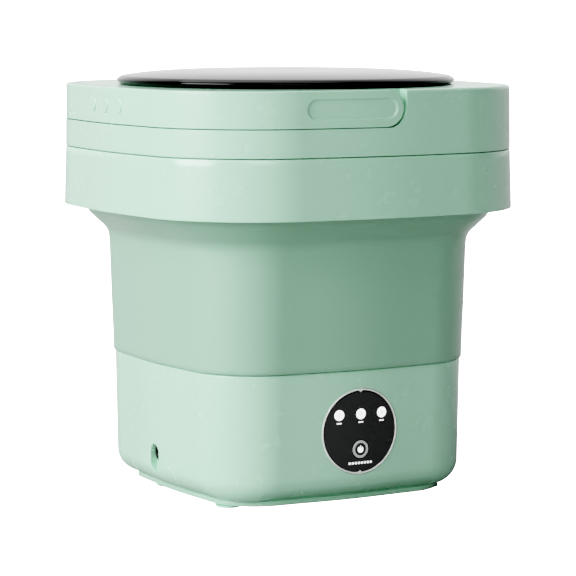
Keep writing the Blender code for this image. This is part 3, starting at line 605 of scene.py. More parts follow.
def base_depth(x, y, z):
    """How far the grip and the rim of the jack's recess sink into the base's outside."""
    grip = from_line(x, z, (GRIP_LEFT, GRIP_Z), (GRIP_RIGHT, GRIP_Z)) - GRIP_RADIUS
    slope = np.clip((GRIP_Z + GRIP_RADIUS - z) / (1.6 * GRIP_RADIUS), 0, 1)
    jack = from_line(y, z, (JACK_Y, RECESS_LOW_Z), (JACK_Y, JACK_Z)) - JACK_RADIUS
    rim = np.clip(1 - jack / 0.0011, 0, 1) ** 2
    return (y < -0.06) * GRIP_DEPTH * slope * eased(grip, 0.0008) + (x < -0.09) * 0.0006 * rim


def jack_cutter():
    """An upright slot with a flat floor, which runs out to the surface at its lower end."""
    angles = np.linspace(0, 2 * math.pi, 64, endpoint=False)
    y = JACK_Y + JACK_RADIUS * np.cos(angles)
    z = np.where(angles < math.pi, JACK_Z, RECESS_LOW_Z) + JACK_RADIUS * np.sin(angles)
    floor = np.interp(z, [RECESS_LOW_Z - JACK_RADIUS, RECESS_LOW_Z - 0.0030], [-0.1080, RECESS_FLOOR])
    wide = [np.column_stack([np.full(64, x), y, z]) for x in (-0.125, -0.1110)]
    slot = skin("jack_slot", [*wide, np.column_stack([floor, y, z])], wrap_rows=False)
    return slot


def build_base_shell():
    places = base_places()
    jack_top = ROUND_TOP + 0.0170
    edge = BASE_TOP - 0.0012
    lip = [(0, COVER_LOW + 0.0003), (0, LIP_TOP - 0.0008), (0.0003, LIP_TOP - 0.0003), (0.0010, LIP_TOP - 0.0003)]
    lip += [(0.0012, LIP_TOP)]
    rows = [lip_loop(inset, z, places) for inset, z in lip]
    rows += [round_loop(turn, places) for turn in np.linspace(ROUND_START, math.pi / 2, 60)]
    heights = [ROUND_TOP + 0.0007 * i for i in range(1, 25)]
    heights += [z for (z, _) in spread((jack_top, 0), (edge, 0), 0.0035)][1:]
    outer = [(float(base_outer_half(z)), z) for z in heights]
    rounding = np.radians(np.linspace(0, 90, 6))
    outer += [(BASE_HALF - 0.0012 + 0.0012 * math.cos(a), edge + 0.0012 * math.sin(a)) for a in rounding]
    rows = sunk(rows + [base_loop(half, z, places) for half, z in outer], base_depth)

    rows = [*rows, base_loop(BASE_HALF - BASE_WALL, BASE_TOP, places)]
    rows += [round_loop(turn, places, BASE_WALL) for turn in np.radians(np.linspace(90, 38, 10))]
    rows += [lip_loop(LIP_WALL, z, places) for z in (LIP_INNER_TOP, BASE_LOW)]
    rows.append(lip_loop(0.0003, BASE_LOW, places))
    shell = skin("base_shell_skin", rows, MINT, sharp=60)

    angles = np.linspace(0, 2 * math.pi, 64, endpoint=False)
    y = JACK_Y + 0.0085 * np.cos(angles)
    z = np.where(angles < math.pi, JACK_Z, RECESS_LOW_Z) + 0.0085 * np.sin(angles)
    face = np.interp(z, [0.0150, 0.0190, 0.0400], [-0.1068, -0.1088, -0.1095])
    sides = [np.column_stack([x, y, z]) for x in (np.full(64, -0.1035), face)]
    pad = skin("jack_pad", sides, wrap_rows=False)
    cut(shell, pad, operation="UNION")
    bore = drill("jack_bore", 0.0061, 0.099, 0.1070, (0, JACK_Y, JACK_Z), (-1, 0, 0), 48)
    panel = drill("panel_bore", PANEL_RADIUS + GAP, 0.098, 0.12, (0, 0, PANEL_Z), (0, -1, 0), 96)
    drain = drill("drain_bore", 0.0081, 0.1, 0.12, (0, 0, DRAIN_Z), (0, 1, 0), 48)
    cut(shell, jack_cutter(), bore, panel, drain)
    return piece(creased(shell, 60), "base", "mint_plastic", "base_shell")


def build_bottom():
    places = even_stations(10, 16)
    inset = LIP_WALL + GAP
    section = [(0.0300, COVER_LOW), (0.0010, COVER_LOW), (0.0003, COVER_LOW + 0.0002), (0, COVER_LOW + 0.0008)]
    section += [(0, COVER_HIGH - 0.0004), (0.0004, COVER_HIGH)]
    rows = [lip_loop(inset + min(more, 0.0010), z, places) for more, z in section]
    rows[0] = to_circle(lip_loop(inset, COVER_LOW, places), 0.02, 1)
    rows.append(to_circle(lip_loop(inset, COVER_HIGH, places), 0.02, 1))
    cover = skin("bottom_cover_skin", rows, MINT, wrap_rows=False, sharp=40)
    bores = []
    for i in range(1, 5):
        spot = middle(f"cover_screw_{i}")
        bores.append(drill(f"cover_bore_{i}", 0.0019, 0, 0.01, (spot.x, spot.y, 0), (0, 0, 1), 24))
    cut(cover, *bores)
    piece(creased(cover, 40), "base", "mint_plastic", "bottom_cover")

    for i in range(1, 5):
        foot = f"foot_{i}"
        spot, top, radius = middle(foot), high(foot).z, (high(foot).x - low(foot).x) / 2
        profile = [(0, 0.0004), (radius - 0.0030, 0.0004), (radius - 0.0024, 0), (radius - 0.0010, 0)]
        profile += [(radius - 0.0003, 0.0003), (radius, 0.0009), (radius, COVER_LOW - GAP)]
        profile += [(0.0030, COVER_LOW - GAP), (0.0030, top), (0, top)]
        pad = turned(f"{foot}_pad", profile, MINT_RUBBER, (spot.x, spot.y, 0), steps=48)
        piece(pad, "base", "soft_mint", foot)


def screw(name, node, body, head, shank, depth, drop):
    """A pan-head screw with a cross recess, standing where its CAD node is. drop is +1 if the head is on top."""
    spot = middle(node)
    end = high(node).z if drop > 0 else low(node).z
    length = high(node).z - low(node).z
    profile = [(0, 0), (head * 0.55, -0.00012), (head * 0.88, -0.00045), (head, -0.0009), (head, -depth)]
    profile += [(shank, -depth), (shank, -length + 0.0008), (shank * 0.5, -length), (0, -length)]
    obj = turned(name, profile, STEEL, steps=32)
    bars = []
    for turn in (0, 90):
        reach, wide = head * 0.55, 0.00035
        bar = [(-reach, -wide), (reach, -wide), (reach, wide), (-reach, wide)]
        rows = [np.column_stack([np.array(bar), np.full(4, z)]) for z in (-0.0010, 0.0010)]
        bars.append(skin(f"{name}_slot_{turn}", rows, wrap_rows=False))
        bars[-1].data.transform(Matrix.Rotation(math.radians(turn + 20), 4, "Z"))
    cut(obj, *bars)
    obj.data.transform(Matrix.Translation((spot.x, spot.y, end)) @ Matrix.Diagonal((1, drop, drop, 1)))
    return piece(creased(obj, 35), body, "steel", node)


def build_liner():
    places = even_stations(12, 24)
    hub = 0.0106
    rows = []
    for part in np.linspace(1, 0, 9):
        rows.append(to_circle(base_loop(0.0800 - 0.0600 * part, FLOOR_HIGH, places), hub, part))
    bowl = [(0.0825, FLOOR_HIGH), (0.0895, 0.0650), (0.0940, 0.0700), (0.0965, 0.0790), (0.0978, 0.0960)]
    inside = curved(bowl, 6)
    rows += [base_loop(half, z, places) for half, z in inside]
    rim = [(0.0981, 0.0995), (0.0990, 0.1016), (0.1004, FLANGE_HIGH), (FLANGE_HALF - 0.0006, FLANGE_HIGH)]
    rim += [(FLANGE_HALF, FLANGE_HIGH - 0.0006), (FLANGE_HALF, FLANGE_LOW + 0.0002), (0.1002, FLANGE_LOW)]
    rows += [base_loop(half, z, places) for half, z in rim]
    under = [(0.1000, 0.0985), (0.0985, 0.0770), (0.0962, 0.0690), (0.0905, 0.0632), (0.0830, FLOOR_LOW)]
    outside = curved(under, 4)
    rows += [base_loop(half, z, places) for half, z in outside]
    for part in np.linspace(0.2, 1, 4):
        rows.append(to_circle(base_loop(0.0800 - 0.0600 * part, FLOOR_LOW, places), hub, part))
    liner = skin("tub_liner_skin", rows, WHITE, sharp=50)
    bore = drill("liner_drain", 0.0062, 0.055, 0.07, (0, DRAIN_Y, 0), (0, 0, 1), 48)
    cut(liner, bore)
    piece(creased(liner, 50), "base", "white_plastic", "tub_liner")


# ---------------------------------------------------------------- soft wall


def build_soft_wall():
    """The soft wall, thin like the real one that turns inside out over the base when the collar comes down, built as
    one fixed skin in its standing shape.
    """
    places = even_stations(24, 30)
    lip_low, lip_high = low("soft_wall").z, low("soft_wall").z + 0.0015
    top_low, top_high = SHELF_HIGH + GAP, high("soft_wall").z
    rim = high("soft_wall").x
    out_line = [(0.1136, lip_low + 0.0006), (0.1142, 0.1200), (0.1150, 0.1400), (0.1156, 0.1600), (0.1162, 0.1780)]
    out_line += [(0.1168, 0.1862), (0.1181, 0.1900), (0.1198, 0.1925), (0.1224, 0.1950), (0.1251, 0.1976)]
    out_line += [(0.1278, 0.2001), (0.1308, 0.2030), (0.1328, 0.2058), (0.1348, 0.2090), (0.1378, top_low - 0.0015)]
    in_line = [(0.1366, top_high - 0.0010), (0.1336, 0.2098), (0.1316, 0.2067), (0.1296, 0.2039), (0.1267, 0.2011)]
    in_line += [(0.1240, 0.1987), (0.1214, 0.1961), (0.1187, 0.1935), (0.1167, 0.1906), (0.1153, 0.1864)]
    in_line += [(0.1147, 0.1781), (0.1141, 0.1601), (0.1135, 0.1400), (0.1127, 0.1200), (0.1121, lip_high + 0.0006)]
    loops = [(0.1130, lip_low), *curved(out_line, 6), (0.1386, top_low), (rim, top_low), (rim, top_high)]
    loops += [(0.1376, top_high), *curved(in_line, 6), (0.1115, lip_high), (0.1006, lip_high), (0.1006, lip_low)]
    wall = skin("soft_wall_skin", [wall_loop(half, z, places) for half, z in loops], SOFT_MINT, sharp=60)
    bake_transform(wall)
    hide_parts("soft_wall")


# ---------------------------------------------------------------- control panel


def faced(radii, angles, proud, back, at_z=PANEL_Z):
    """Rows of a ring that follows the base's front face. radii are (radius, how far proud) from in to out."""
    rows = []
    for radius, lift in radii:
        radius = np.broadcast_to(radius, len(angles))
        x, z = radius * np.cos(angles), at_z + radius * np.sin(angles)
        rows.append(np.column_stack([x, front_y(x, z) - proud - lift, z]))
    for radius, _ in (radii[-1], radii[0]):
        radius = np.broadcast_to(radius, len(angles))
        x, z = radius * np.cos(angles), at_z + radius * np.sin(angles)
        rows.append(np.column_stack([x, front_y(x, z) + back, z]))
    return rows


def build_panel():
    angles = np.linspace(0, 2 * math.pi, 192, endpoint=False)

    # The black face dips in a small V at the top and at the bottom, and the bright bezel follows it
    off_vertical = np.abs(np.abs(angles - math.pi) - math.pi / 2)
    notch = 0.0014 * np.clip(1 - off_vertical / 0.058, 0, 1)
    inner = LENS_RADIUS + GAP - notch
    outer = PANEL_RADIUS
    section = [(inner, 0.0), (inner + 0.0002, 0.0003), (inner + 0.0004, 0.0004), (outer - 0.0005, 0.0004)]
    section += [(outer - 0.0002, 0.0003), (outer, 0.0)]
    bezel = skin("panel_bezel_ring", faced(section, angles, 0, 0.0030), TRIM, sharp=60)
    piece(bezel, "base", "trim_ring", "panel_bezel")

    edge = LENS_RADIUS - notch - 0.0001
    section = [(0.0001, 0.0)] + [(edge * k, 0.0) for k in np.linspace(0.06, 0.985, 18)]
    section += [(edge - 0.0002, -0.00005), (edge, -0.0003)]
    lens = skin("panel_face", faced(section, angles, 0, 0.0025), PANEL_BLACK, sharp=45)
    hole = drill("button_hole", BUTTON_RADIUS + GAP, 0.100, 0.12, (0, 0, BUTTON_Z), (0, -1, 0), 96)
    cut(lens, hole)
    piece(creased(lens, 45), "base", "black_gloss", "panel_lens")


def decal(name, loops, look, body, slot, at, thick=0.00012, replaced=()):
    """Print on the panel: rows of (x, z) loops from in to out, or one loop, that follow the front face."""
    loops = [np.array(loop, float) + np.array(at) for loop in loops]
    if len(loops) == 1:
        inside = loops[0].mean(0)
        loops = [loops[0] * k + inside * (1 - k) for k in (0.02, 0.5, 0.9, 1.0)]
    front = [np.column_stack([l[:, 0], front_y(l[:, 0], l[:, 1]) - thick, l[:, 1]]) for l in loops]
    ends = (loops[-1], loops[0])
    back = [np.column_stack([l[:, 0], front_y(l[:, 0], l[:, 1]) + 0.0001, l[:, 1]]) for l in ends]
    return piece(skin(name, front + back, look, sharp=50), body, slot, *replaced)


def disc_loop(radius, steps=48, x=0.0, z=0.0):
    angles = np.linspace(0, 2 * math.pi, steps, endpoint=False)
    return np.column_stack([x + radius * np.cos(angles), z + radius * np.sin(angles)])


def bar_loop(width, height, x=0.0, z=0.0):
    w, h = width / 2, height / 2
    return np.array(rounded([(-w, -h), (w, -h), (w, h), (-w, h)], h * 0.6, 6)) + (x, z)


def arc_band(radius, width, start, end, steps=40):
    """The outline of part of a ring, with round ends."""
    sweep = np.radians(np.linspace(start, end, steps))
    ends = np.radians(np.linspace(0, 180, 8))
    outer, inner = radius + width / 2, radius - width / 2
    points = [(outer * math.cos(a), outer * math.sin(a)) for a in sweep]
    for angle, flip in ((sweep[-1], 0), (sweep[0], math.pi)):
        centre = np.array([radius * math.cos(angle), radius * math.sin(angle)])
        turns = ends[1:-1] + angle + flip
        points += [tuple(centre + width / 2 * np.array([math.cos(turn), math.sin(turn)])) for turn in turns]
        if not flip:
            points += [(inner * math.cos(a), inner * math.sin(a)) for a in sweep[::-1]]
    return np.array(points)


def build_marks():
    """Indicator windows with a faint symbol and a bar below, the button's ring and symbol, and a row of dashes."""
    for i, node in enumerate(WINDOWS):
        spot = middle(node)
        radius = (high(node).x - low(node).x) / 2
        at = (spot.x, spot.z)
        loops = [disc_loop(radius * k) for k in (0.03, 0.5, 0.85, 0.96, 1.0)]
        decal(f"{node}_cap", loops, WINDOW, "base", "indicator", at, 0.00022, [node])
        faint = ([disc_loop(0.0012), disc_loop(0.0017)], [disc_loop(0.0009), disc_loop(0.0014)],
                 [disc_loop(0.0005), disc_loop(0.0011)])[i]
        decal(f"window_symbol_{i + 1}", faint, GREY_INK, "base", "indicator", at, 0.00026)
        decal(f"window_bar_{i + 1}", [bar_loop(0.0040, 0.0011)], WHITE_INK, "base", "indicator",
              (spot.x, spot.z - 0.0059))
    dashes = 8
    for i in range(dashes):
        x = (i - (dashes - 1) / 2) * 0.0025
        decal(f"panel_dash_{i + 1}", [bar_loop(0.0018, 0.0018)], WHITE_INK, "base", "indicator", (x, 0.0315))


def build_button():
    angles = np.linspace(0, 2 * math.pi, 96, endpoint=False)
    radius = BUTTON_RADIUS
    section = [(0.0001, 0.0), (radius * 0.4, 0.0), (radius * 0.8, 0.0), (radius - 0.0003, 0.0), (radius, -0.0003)]
    rows = faced(section, angles, 0.00005, 0.0026, BUTTON_Z)
    cap = skin("power_button_cap", rows, PANEL_BLACK, sharp=50)
    piece(cap, "button", "black_gloss", "power_button")
    ring = [disc_loop(radius - k, 96) for k in (0.0021, 0.0019, 0.0004, 0.0002)]
    decal("power_ring", ring, RING_INK, "button", "indicator", (0, BUTTON_Z), 0.00018)
    symbols = [("power_symbol_arc", arc_band(0.0021, 0.0007, 125, 415), -0.0002)]
    symbols.append(("power_symbol_bar", bar_loop(0.0007, 0.0026), 0.0015))
    for name, loop, rise in symbols:
        decal(name, [loop], WHITE_INK, "button", "indicator", (0, BUTTON_Z + rise))


def build_jack():
    """The sleeve's mouth is chamfered, and the pin in it has a round tip."""
    front, back = -low("dc_jack").x, -high("dc_jack").x
    profile = [(0, back), (0.0060, back), (0.0060, front - 0.0004), (0.0056, front), (0.0042, front)]
    profile += [(0.0035, front - 0.0007), (0.0033, front - 0.0100), (0.0011, front - 0.0100)]
    profile += [(0.0011, front - 0.0036), (0.0007, front - 0.0032), (0, front - 0.0031)]
    jack = turned("jack_socket", profile, BLACK, (0, JACK_Y, JACK_Z), (-1, 0, 0), 64)
    piece(jack, "base", "black_plastic", "dc_jack")


# ---------------------------------------------------------------- collar and handle


def collar_places():
    near, far = 3.25 + 0.5 * POCKET_END / 0.1274, 1.25 - 0.5 * POCKET_END / 0.1274
    return stations((0, 0.5, 24), (0.5, 1, 36), (1, far, 12), (far, 1.5, 24), (1.5, 2, 36), (2, 2.5, 40),
                    (2.5, 3, 36), (3, near, 24), (near, 3.5, 12), (3.5, 4, 36))


def build_collar_body():
    places = collar_places()
    tongue = COLLAR_HALF - COLLAR_WALL + 0.0002 - GAP
    outside = COLLAR_HALF + 0.0005
    outer = [(tongue, TONGUE_LOW), (tongue, SEAM_HIGH), (outside - 0.0005, SEAM_HIGH)]
    outer += [(outside - 0.0001, SEAM_HIGH + 0.00012), (outside, SEAM_HIGH + 0.0005)]
    outer += spread((outside, SEAM_HIGH + 0.0030), (COLLAR_HALF, COLLAR_HIGH - 0.0024), 0.0040)
    turns = np.radians(np.linspace(0, 90, 9))
    outer += [(COLLAR_HALF - 0.0024 * (1 - math.cos(a)), COLLAR_HIGH - 0.0024 * (1 - math.sin(a))) for a in turns]
    rows = [collar_loop(half, z, places) for half, z in outer]

    # The top runs in from the rounded square to the round mouth, then down the mouth's neck
    brim = rows[-1]
    rows += [to_circle(brim, MOUTH_RADIUS + 0.0012, k) for k in np.linspace(0.1, 1, 10)]
    for a in np.radians((30, 60, 90)):
        z = COLLAR_HIGH - 0.0012 * (1 - math.cos(a))
        rows.append(to_circle(raised(brim[:, :2], z), MOUTH_RADIUS + 0.0012 * (1 - math.sin(a)), 1))
    neck = [(MOUTH_RADIUS, COLLAR_HIGH - 0.0070), (MOUTH_RADIUS, 0.2875), (MOUTH_RADIUS + 0.0005, 0.2870)]
    neck += [(MOUTH_RADIUS + 0.0020, 0.2870), (MOUTH_RADIUS + 0.0025, 0.2875)]
    neck.append((MOUTH_RADIUS + 0.0025, COLLAR_HIGH - 0.0030))
    rows += [to_circle(raised(brim[:, :2], z), radius, 1) for radius, z in neck]

    # The inside steps in behind the handle's pocket
    deep = collar_loop(COLLAR_HALF - POCKET_DEPTH - 0.0022, 0, places)[:, :2]
    shallow = collar_loop(COLLAR_HALF - COLLAR_WALL, 0, places)[:, :2]
    chosen = np.where((brim[:, 0] < POCKET_END + 0.0030)[:, None], deep, shallow)
    rows += [raised(chosen, z) for z in (COLLAR_HIGH - 0.0030, POCKET_LOW - 0.0022)]
    rows += [collar_loop(tongue - 0.0026, z, places) for z in (POCKET_LOW - 0.0022, TONGUE_LOW)]
    body = skin("collar_body_skin", rows, MINT, sharp=50)

    # Pocket for the handle: open at the top, with a rounded lower corner at each end
    run = np.concatenate([np.linspace(-POCKET_CORNER, 0, 4, endpoint=False) + POCKET_END - POCKET_CORNER,
                          POCKET_END - POCKET_CORNER * (1 - np.sin(np.radians(np.linspace(0, 90, 13))))])
    side = 4 * (COLLAR_HALF - COLLAR_BULGE - COLLAR_CORNER)
    front_end, rear_end = 3.25 + run / side, 1.25 - run / side
    main = stations((rear_end[0], 1.5, 12), (1.5, 2, 36), (2, 2.5, 24), (2.5, 3, 36), (3, front_end[0], 12))
    spots = np.concatenate([rear_end[::-1], main[1:], front_end])
    reach = collar_loop(COLLAR_HALF, 0, spots)[:, 0]
    past = np.clip(reach - (POCKET_END - POCKET_CORNER), 0, POCKET_CORNER)
    floor = POCKET_LOW + POCKET_CORNER - np.sqrt(np.maximum(POCKET_CORNER**2 - past**2, 0))
    section = [(COLLAR_HALF - POCKET_DEPTH, floor), (COLLAR_HALF + 0.012, floor),
               (COLLAR_HALF + 0.012, 0.32), (COLLAR_HALF - POCKET_DEPTH, 0.32)]
    pocket = skin("pocket", [collar_loop(half, z, spots) for half, z in section], wrap_columns=False)
    bores = []
    for name, way in (("front", -1), ("rear", 1)):
        bores.append(drill(f"pin_bore_{name}", PIN_RADIUS, 0.134, 0.139, (0, 0, PIVOT_Z), (0, way, 0), 32))
    cut(body, pocket, *bores)
    return piece(creased(body, 45), "collar", "mint_plastic", "collar_body")


def build_collar_skirt():
    places = collar_places()
    inner = COLLAR_HALF - COLLAR_WALL + 0.0004
    top = COLLAR_HALF + 0.0005
    section = [(inner + 0.0012, COLLAR_LOW), (0.1486, COLLAR_LOW), (0.1490, COLLAR_LOW + 0.0001)]
    section += [(0.1492, COLLAR_LOW + 0.0003), (0.1493, COLLAR_LOW + 0.0008)]
    section += spread((0.1492, COLLAR_LOW + 0.0040), (top, SEAM_LOW - 0.0006), 0.0050)
    section += [(top, SEAM_LOW - 0.0006), (top - 0.0002, SEAM_LOW - 0.00015), (top - 0.0006, SEAM_LOW)]
    section += [(inner - 0.0002, SEAM_LOW), (inner, SHELF_HIGH), (0.1402, SHELF_HIGH), (0.1399, SHELF_HIGH - 0.0003)]
    section += [(0.1399, SHELF_LOW + 0.0003), (0.1402, SHELF_LOW), (inner, SHELF_LOW)]
    skirt = skin("collar_skirt_skin", [collar_loop(half, z, places) for half, z in section], MINT, sharp=50)
    piece(skirt, "collar", "mint_plastic", "collar_skirt")


def groove(distance, width):
    """A round-bottomed groove about a line."""
    return np.clip(1 - (distance / (width / 2)) ** 2, 0, 1)


def handle_depth(x, y, z):
    """The recessed panel on each arm, and three curved grip marks on the left side."""
    arm = from_line(x, z, (-0.0543, PIVOT_Z), (0.0012, PIVOT_Z)) - 0.0068
    depth = (np.abs(y) > 0.10) * 0.0010 * eased(arm, 0.0011)
    for tip in (0.0228, 0.0016, -0.0196):
        bow = 0.0064
        centre = (tip + 0.0010, PIVOT_Z + 0.0001)
        angle = np.arctan2(z - centre[1], centre[0] - y)
        off = np.abs(np.hypot(y - centre[0], z - centre[1]) - bow)
        fade = np.clip((1.55 - np.abs(angle)) / 0.5, 0, 1)
        low_end = np.clip((PIVOT_Z + 0.0075 - z) / 0.0100, 0.25, 1)
        depth += (x < -0.12) * 0.0021 * groove(off, 0.0019) * fade * low_end
    return depth


def build_handle():
    side = 4 * (COLLAR_HALF - COLLAR_BULGE - COLLAR_CORNER)
    swell = 1 + COLLAR_BULGE / (COLLAR_HALF - COLLAR_BULGE)
    beyond = END_RADIUS * np.sin(np.radians(np.linspace(0, 90, 22))) / swell
    beyond[-1] *= 0.9999
    front_end, rear_end = 3.25 + beyond / side, 1.25 - beyond / side
    spots = np.concatenate([
        rear_end[::-1],
        stations((1.25, 1.5, 110), (1.5, 2, 44), (2, 2.13, 14), (2.13, 2.37, 190), (2.37, 2.5, 14), (2.5, 3, 44),
                 (3, 3.25, 110))[1:],
        front_end,
    ])
    reach = collar_loop(COLLAR_HALF, 0, spots)[:, 0]
    half_high = np.sqrt(np.maximum(END_RADIUS**2 - np.clip(reach, 0, END_RADIUS) ** 2, 1e-9))
    scale = half_high / END_RADIUS
    soft_top = 0.0010 - 0.0004 * np.clip((reach + 0.004) / 0.008, 0, 1)

    # Across the band: up the outside, over its rounded edges, and down the inside
    lower_turns, upper_turns = np.radians(np.linspace(-90, 0, 6)), np.radians(np.linspace(0, 90, 9))
    rows = []
    for a in lower_turns:
        size = 0.0007 * scale
        rows.append((size * (1 - math.cos(a)), -half_high + size * (1 + math.sin(a))))
    for k in np.linspace(0, 1, 56)[1:-1]:
        start, end = -half_high + 0.0007 * scale, half_high - soft_top * scale
        rows.append((0 * scale, start + (end - start) * k))
    for a in upper_turns:
        size = soft_top * scale
        rows.append((size * (1 - math.cos(a)), half_high - size * (1 - math.sin(a))))
    outer = []
    for inset, rise in rows:
        flat = handle_points(inset, spots)
        outer.append(np.column_stack([flat, PIVOT_Z + rise]))
    outer = sunk(outer, handle_depth, wrap=False)
    back = []
    for inset, rise in ((HANDLE_THICK - 0.0004, half_high), (HANDLE_THICK, half_high - 0.0004 * scale),
                        (HANDLE_THICK, -half_high + 0.0004 * scale), (HANDLE_THICK - 0.0004, -half_high)):
        back.append(np.column_stack([handle_points(np.full(len(spots), inset), spots), PIVOT_Z + rise]))
    handle = skin("carry_handle_skin", [*outer, *back], MINT, wrap_columns=False, sharp=60)
    bores = []
    for name, way in (("front", -1), ("rear", 1)):
        bores.append(drill(f"arm_bore_{name}", PIN_RADIUS, 0.136, 0.1452, (0, 0, PIVOT_Z), (0, way, 0), 32))
    cut(handle, *bores)
    piece(creased(handle, 60), "handle", "mint_plastic", "carry_handle")


def handle_points(inset, spots):
    """Points of the collar's outline, each drawn in by its own inset."""
    outer = collar_loop(COLLAR_HALF, 0, spots)[:, :2]
    inner = collar_loop(COLLAR_HALF - HANDLE_THICK, 0, spots)[:, :2]
    return outer + (inner - outer) * (inset / HANDLE_THICK)[:, None]


# ---------------------------------------------------------------- lid, pulsator and drain


def build_lid():
    under = COLLAR_HIGH + GAP
    under_dome = high("lid_plug_ring").z + 0.0004
    dome = [(0, LID_TOP)]
    dome += [(r, LID_TOP - 0.0042 * (r / 0.121) ** 5) for r in (0.0002, *np.linspace(0.03, 0.121, 30))]
    dome += [(0.1216, LID_TOP - 0.0044), (0.1222, LID_TOP - 0.0047), (0.1230, LID_TOP - 0.0051)]
    dome += curved([(0.1238, LID_TOP - 0.0056), (0.1246, LID_TOP - 0.0063), (LID_RADIUS, LID_TOP - 0.0071),
                    (0.1247, LID_TOP - 0.0083), (0.1236, under + 0.0009), (0.1225, under)], 3)
    dome += [(0.1164, under), (0.1160, under + 0.0004), (0.1160, under_dome), (0.0003, under_dome), (0, under_dome)]
    piece(turned("lid_cover", dome, BLACK_GLOSS, steps=192, sharp=50), "lid", "black_gloss", "lid_dome")

    bottom, top = low("lid_plug_ring").z, high("lid_plug_ring").z
    inner = PLUG_RADIUS - 0.0030
    plug = rounded([(inner, bottom), (PLUG_RADIUS, bottom), (PLUG_RADIUS, top, 0.0001), (inner, top, 0.0001)], 0.0006)
    piece(turned("lid_plug", plug, BLACK, steps=144), "lid", "black_plastic", "lid_plug_ring")

    bottom, top, lip = low("lid_gasket").z, high("lid_gasket").z, high("lid_gasket").x
    root = PLUG_RADIUS + GAP
    seal = [(root, bottom), (lip - 0.0009, bottom + 0.0002), (lip - 0.0001, bottom + 0.0009), (lip, bottom + 0.0012)]
    seal += [(lip - 0.0008, bottom + 0.0015), (lip - 0.0008, top - 0.0012), (lip, top - 0.0009)]
    seal += [(lip - 0.0001, top - 0.0006), (lip - 0.0009, top), (root, top)]
    piece(turned("lid_seal", seal, DARK_RUBBER, steps=144), "lid", "dark_rubber", "lid_gasket")


def build_pulsator():
    """A dished disc with four rounded vanes and rings of small water slots."""
    radius, bottom = high("pulsator").x, low("pulsator").z
    angles = np.linspace(0, 2 * math.pi, 288, endpoint=False)
    crest = high("pulsator").z
    dish = np.transpose([(0, 0.0752), (0.0080, 0.0752), (0.0140, 0.0728), (0.0200, 0.0712), (0.0580, 0.0688),
                         (0.0600, 0.0684)])
    rows = []
    radii = np.concatenate([[0.0026, 0.0030, 0.0045, 0.0060, 0.0075, 0.0086], np.linspace(0.0100, 0.0600, 66)])
    for r in radii:
        x, y = r * np.cos(angles), r * np.sin(angles)
        ground = np.interp(r, *dish)
        vane = np.zeros(len(angles))
        slots = np.zeros(len(angles))
        for i in range(4):
            way = math.radians(45 + 90 * i)
            line = from_line(x, y, (0.0120 * math.cos(way), 0.0120 * math.sin(way)),
                             (0.0535 * math.cos(way), 0.0535 * math.sin(way)))
            vane = np.maximum(vane, eased(line - 0.0022, 0.0032))
            for ring in (0.026, 0.035, 0.044):
                for off in (-22, 0, 22):
                    a = math.radians(90 * i + off)
                    start = ((ring - 0.002) * math.cos(a), (ring - 0.002) * math.sin(a))
                    end = ((ring + 0.002) * math.cos(a), (ring + 0.002) * math.sin(a))
                    slots = np.maximum(slots, eased(from_line(x, y, start, end) - 0.0008, 0.0008))
        z = ground + (crest - 0.0008 - ground) * vane - 0.0010 * slots
        rows.append(np.column_stack([x, y, z]))
    for r, z in ((0.0612, 0.0680), (radius, 0.0673), (radius, bottom + 0.0003), (radius - 0.0004, bottom)):
        rows.append(np.column_stack([r * np.cos(angles), r * np.sin(angles), np.full(288, z)]))
    for r, z in ((0.0300, bottom), (0.0042, bottom), (0.0042, 0.0724), (0.0026, 0.0724)):
        rows.append(np.column_stack([r * np.cos(angles), r * np.sin(angles), np.full(288, z)]))
    piece(skin("pulsator_disc", rows, MINT, sharp=55), "pulsator", "mint_plastic", "pulsator")


def build_drain():
    plug = "drain_plug"
    seat = low(plug).y + 0.0160
    rise = [(0, -0.0160), (0.0046, -0.0160), (0.0052, -0.0154), (0.0053, -0.0110), (0.0057, -0.0106)]
    rise += [(0.0057, -0.0096), (0.0053, -0.0092), (0.0055, -0.0022), (0.0084, -0.0022), (0.0090, -0.0016), (0.0090, -0.0005)]
    rise += [(0.0086, -0.0001), (0.0080, 0), (0, 0)]
    stopper = turned("drain_stopper", rise, MINT, (0, seat, DRAIN_Z), (0, 1, 0), 64)
    tab = [(-0.0055, -0.001), (0.0055, -0.001), (0.0055, 0.006), (-0.0055, 0.006)]
    tab_outline = np.array(rounded(tab, 0.0022, 6))
    rows = []
    for z, inset in ((-0.0012, 0.0004), (-0.0008, 0), (0.0008, 0), (0.0012, 0.0004)):
        scale = 1 - inset / 0.0055
        rows.append(raised(tab_outline * scale + (0, seat), DRAIN_Z + z))
    cut(stopper, skin("drain_tab", rows, wrap_rows=False), operation="UNION")
    piece(creased(stopper, 35), "plug", "mint_plastic", plug)


# ---------------------------------------------------------------- pieces kept from CAD, with finer materials

KEPT = {
    "control_board": BOARD,
    "tact_switch": BLACK,
    "jack_wire": DARK_RUBBER,
    "motor_wire": RED_WIRE,
    "gearbox_plate": STEEL,
    "output_gear": WHITE,
    "pinion_gear": STEEL,
    "drive_shaft": STEEL,
    "upper_bearing": BRONZE,
    "lower_bearing": BRONZE,
    "shaft_seal": DARK_RUBBER,
    "motor_can": STEEL,
    "motor_end_cap": BLACK,
    "motor_shaft": STEEL,
    "rotor_core": STEEL,
    "drain_grille": WHITE,
    "drain_elbow": WHITE,
    "wall_clamp_ring": WHITE,
    "pivot_pin_front": STEEL,
    "pivot_pin_rear": STEEL,
}


def dress_kept_nodes():
    for node, look in KEPT.items():
        mesh = frame["nodes"][node].data
        mesh.materials.clear()
        mesh.materials.append(look)


# ---------------------------------------------------------------- studio

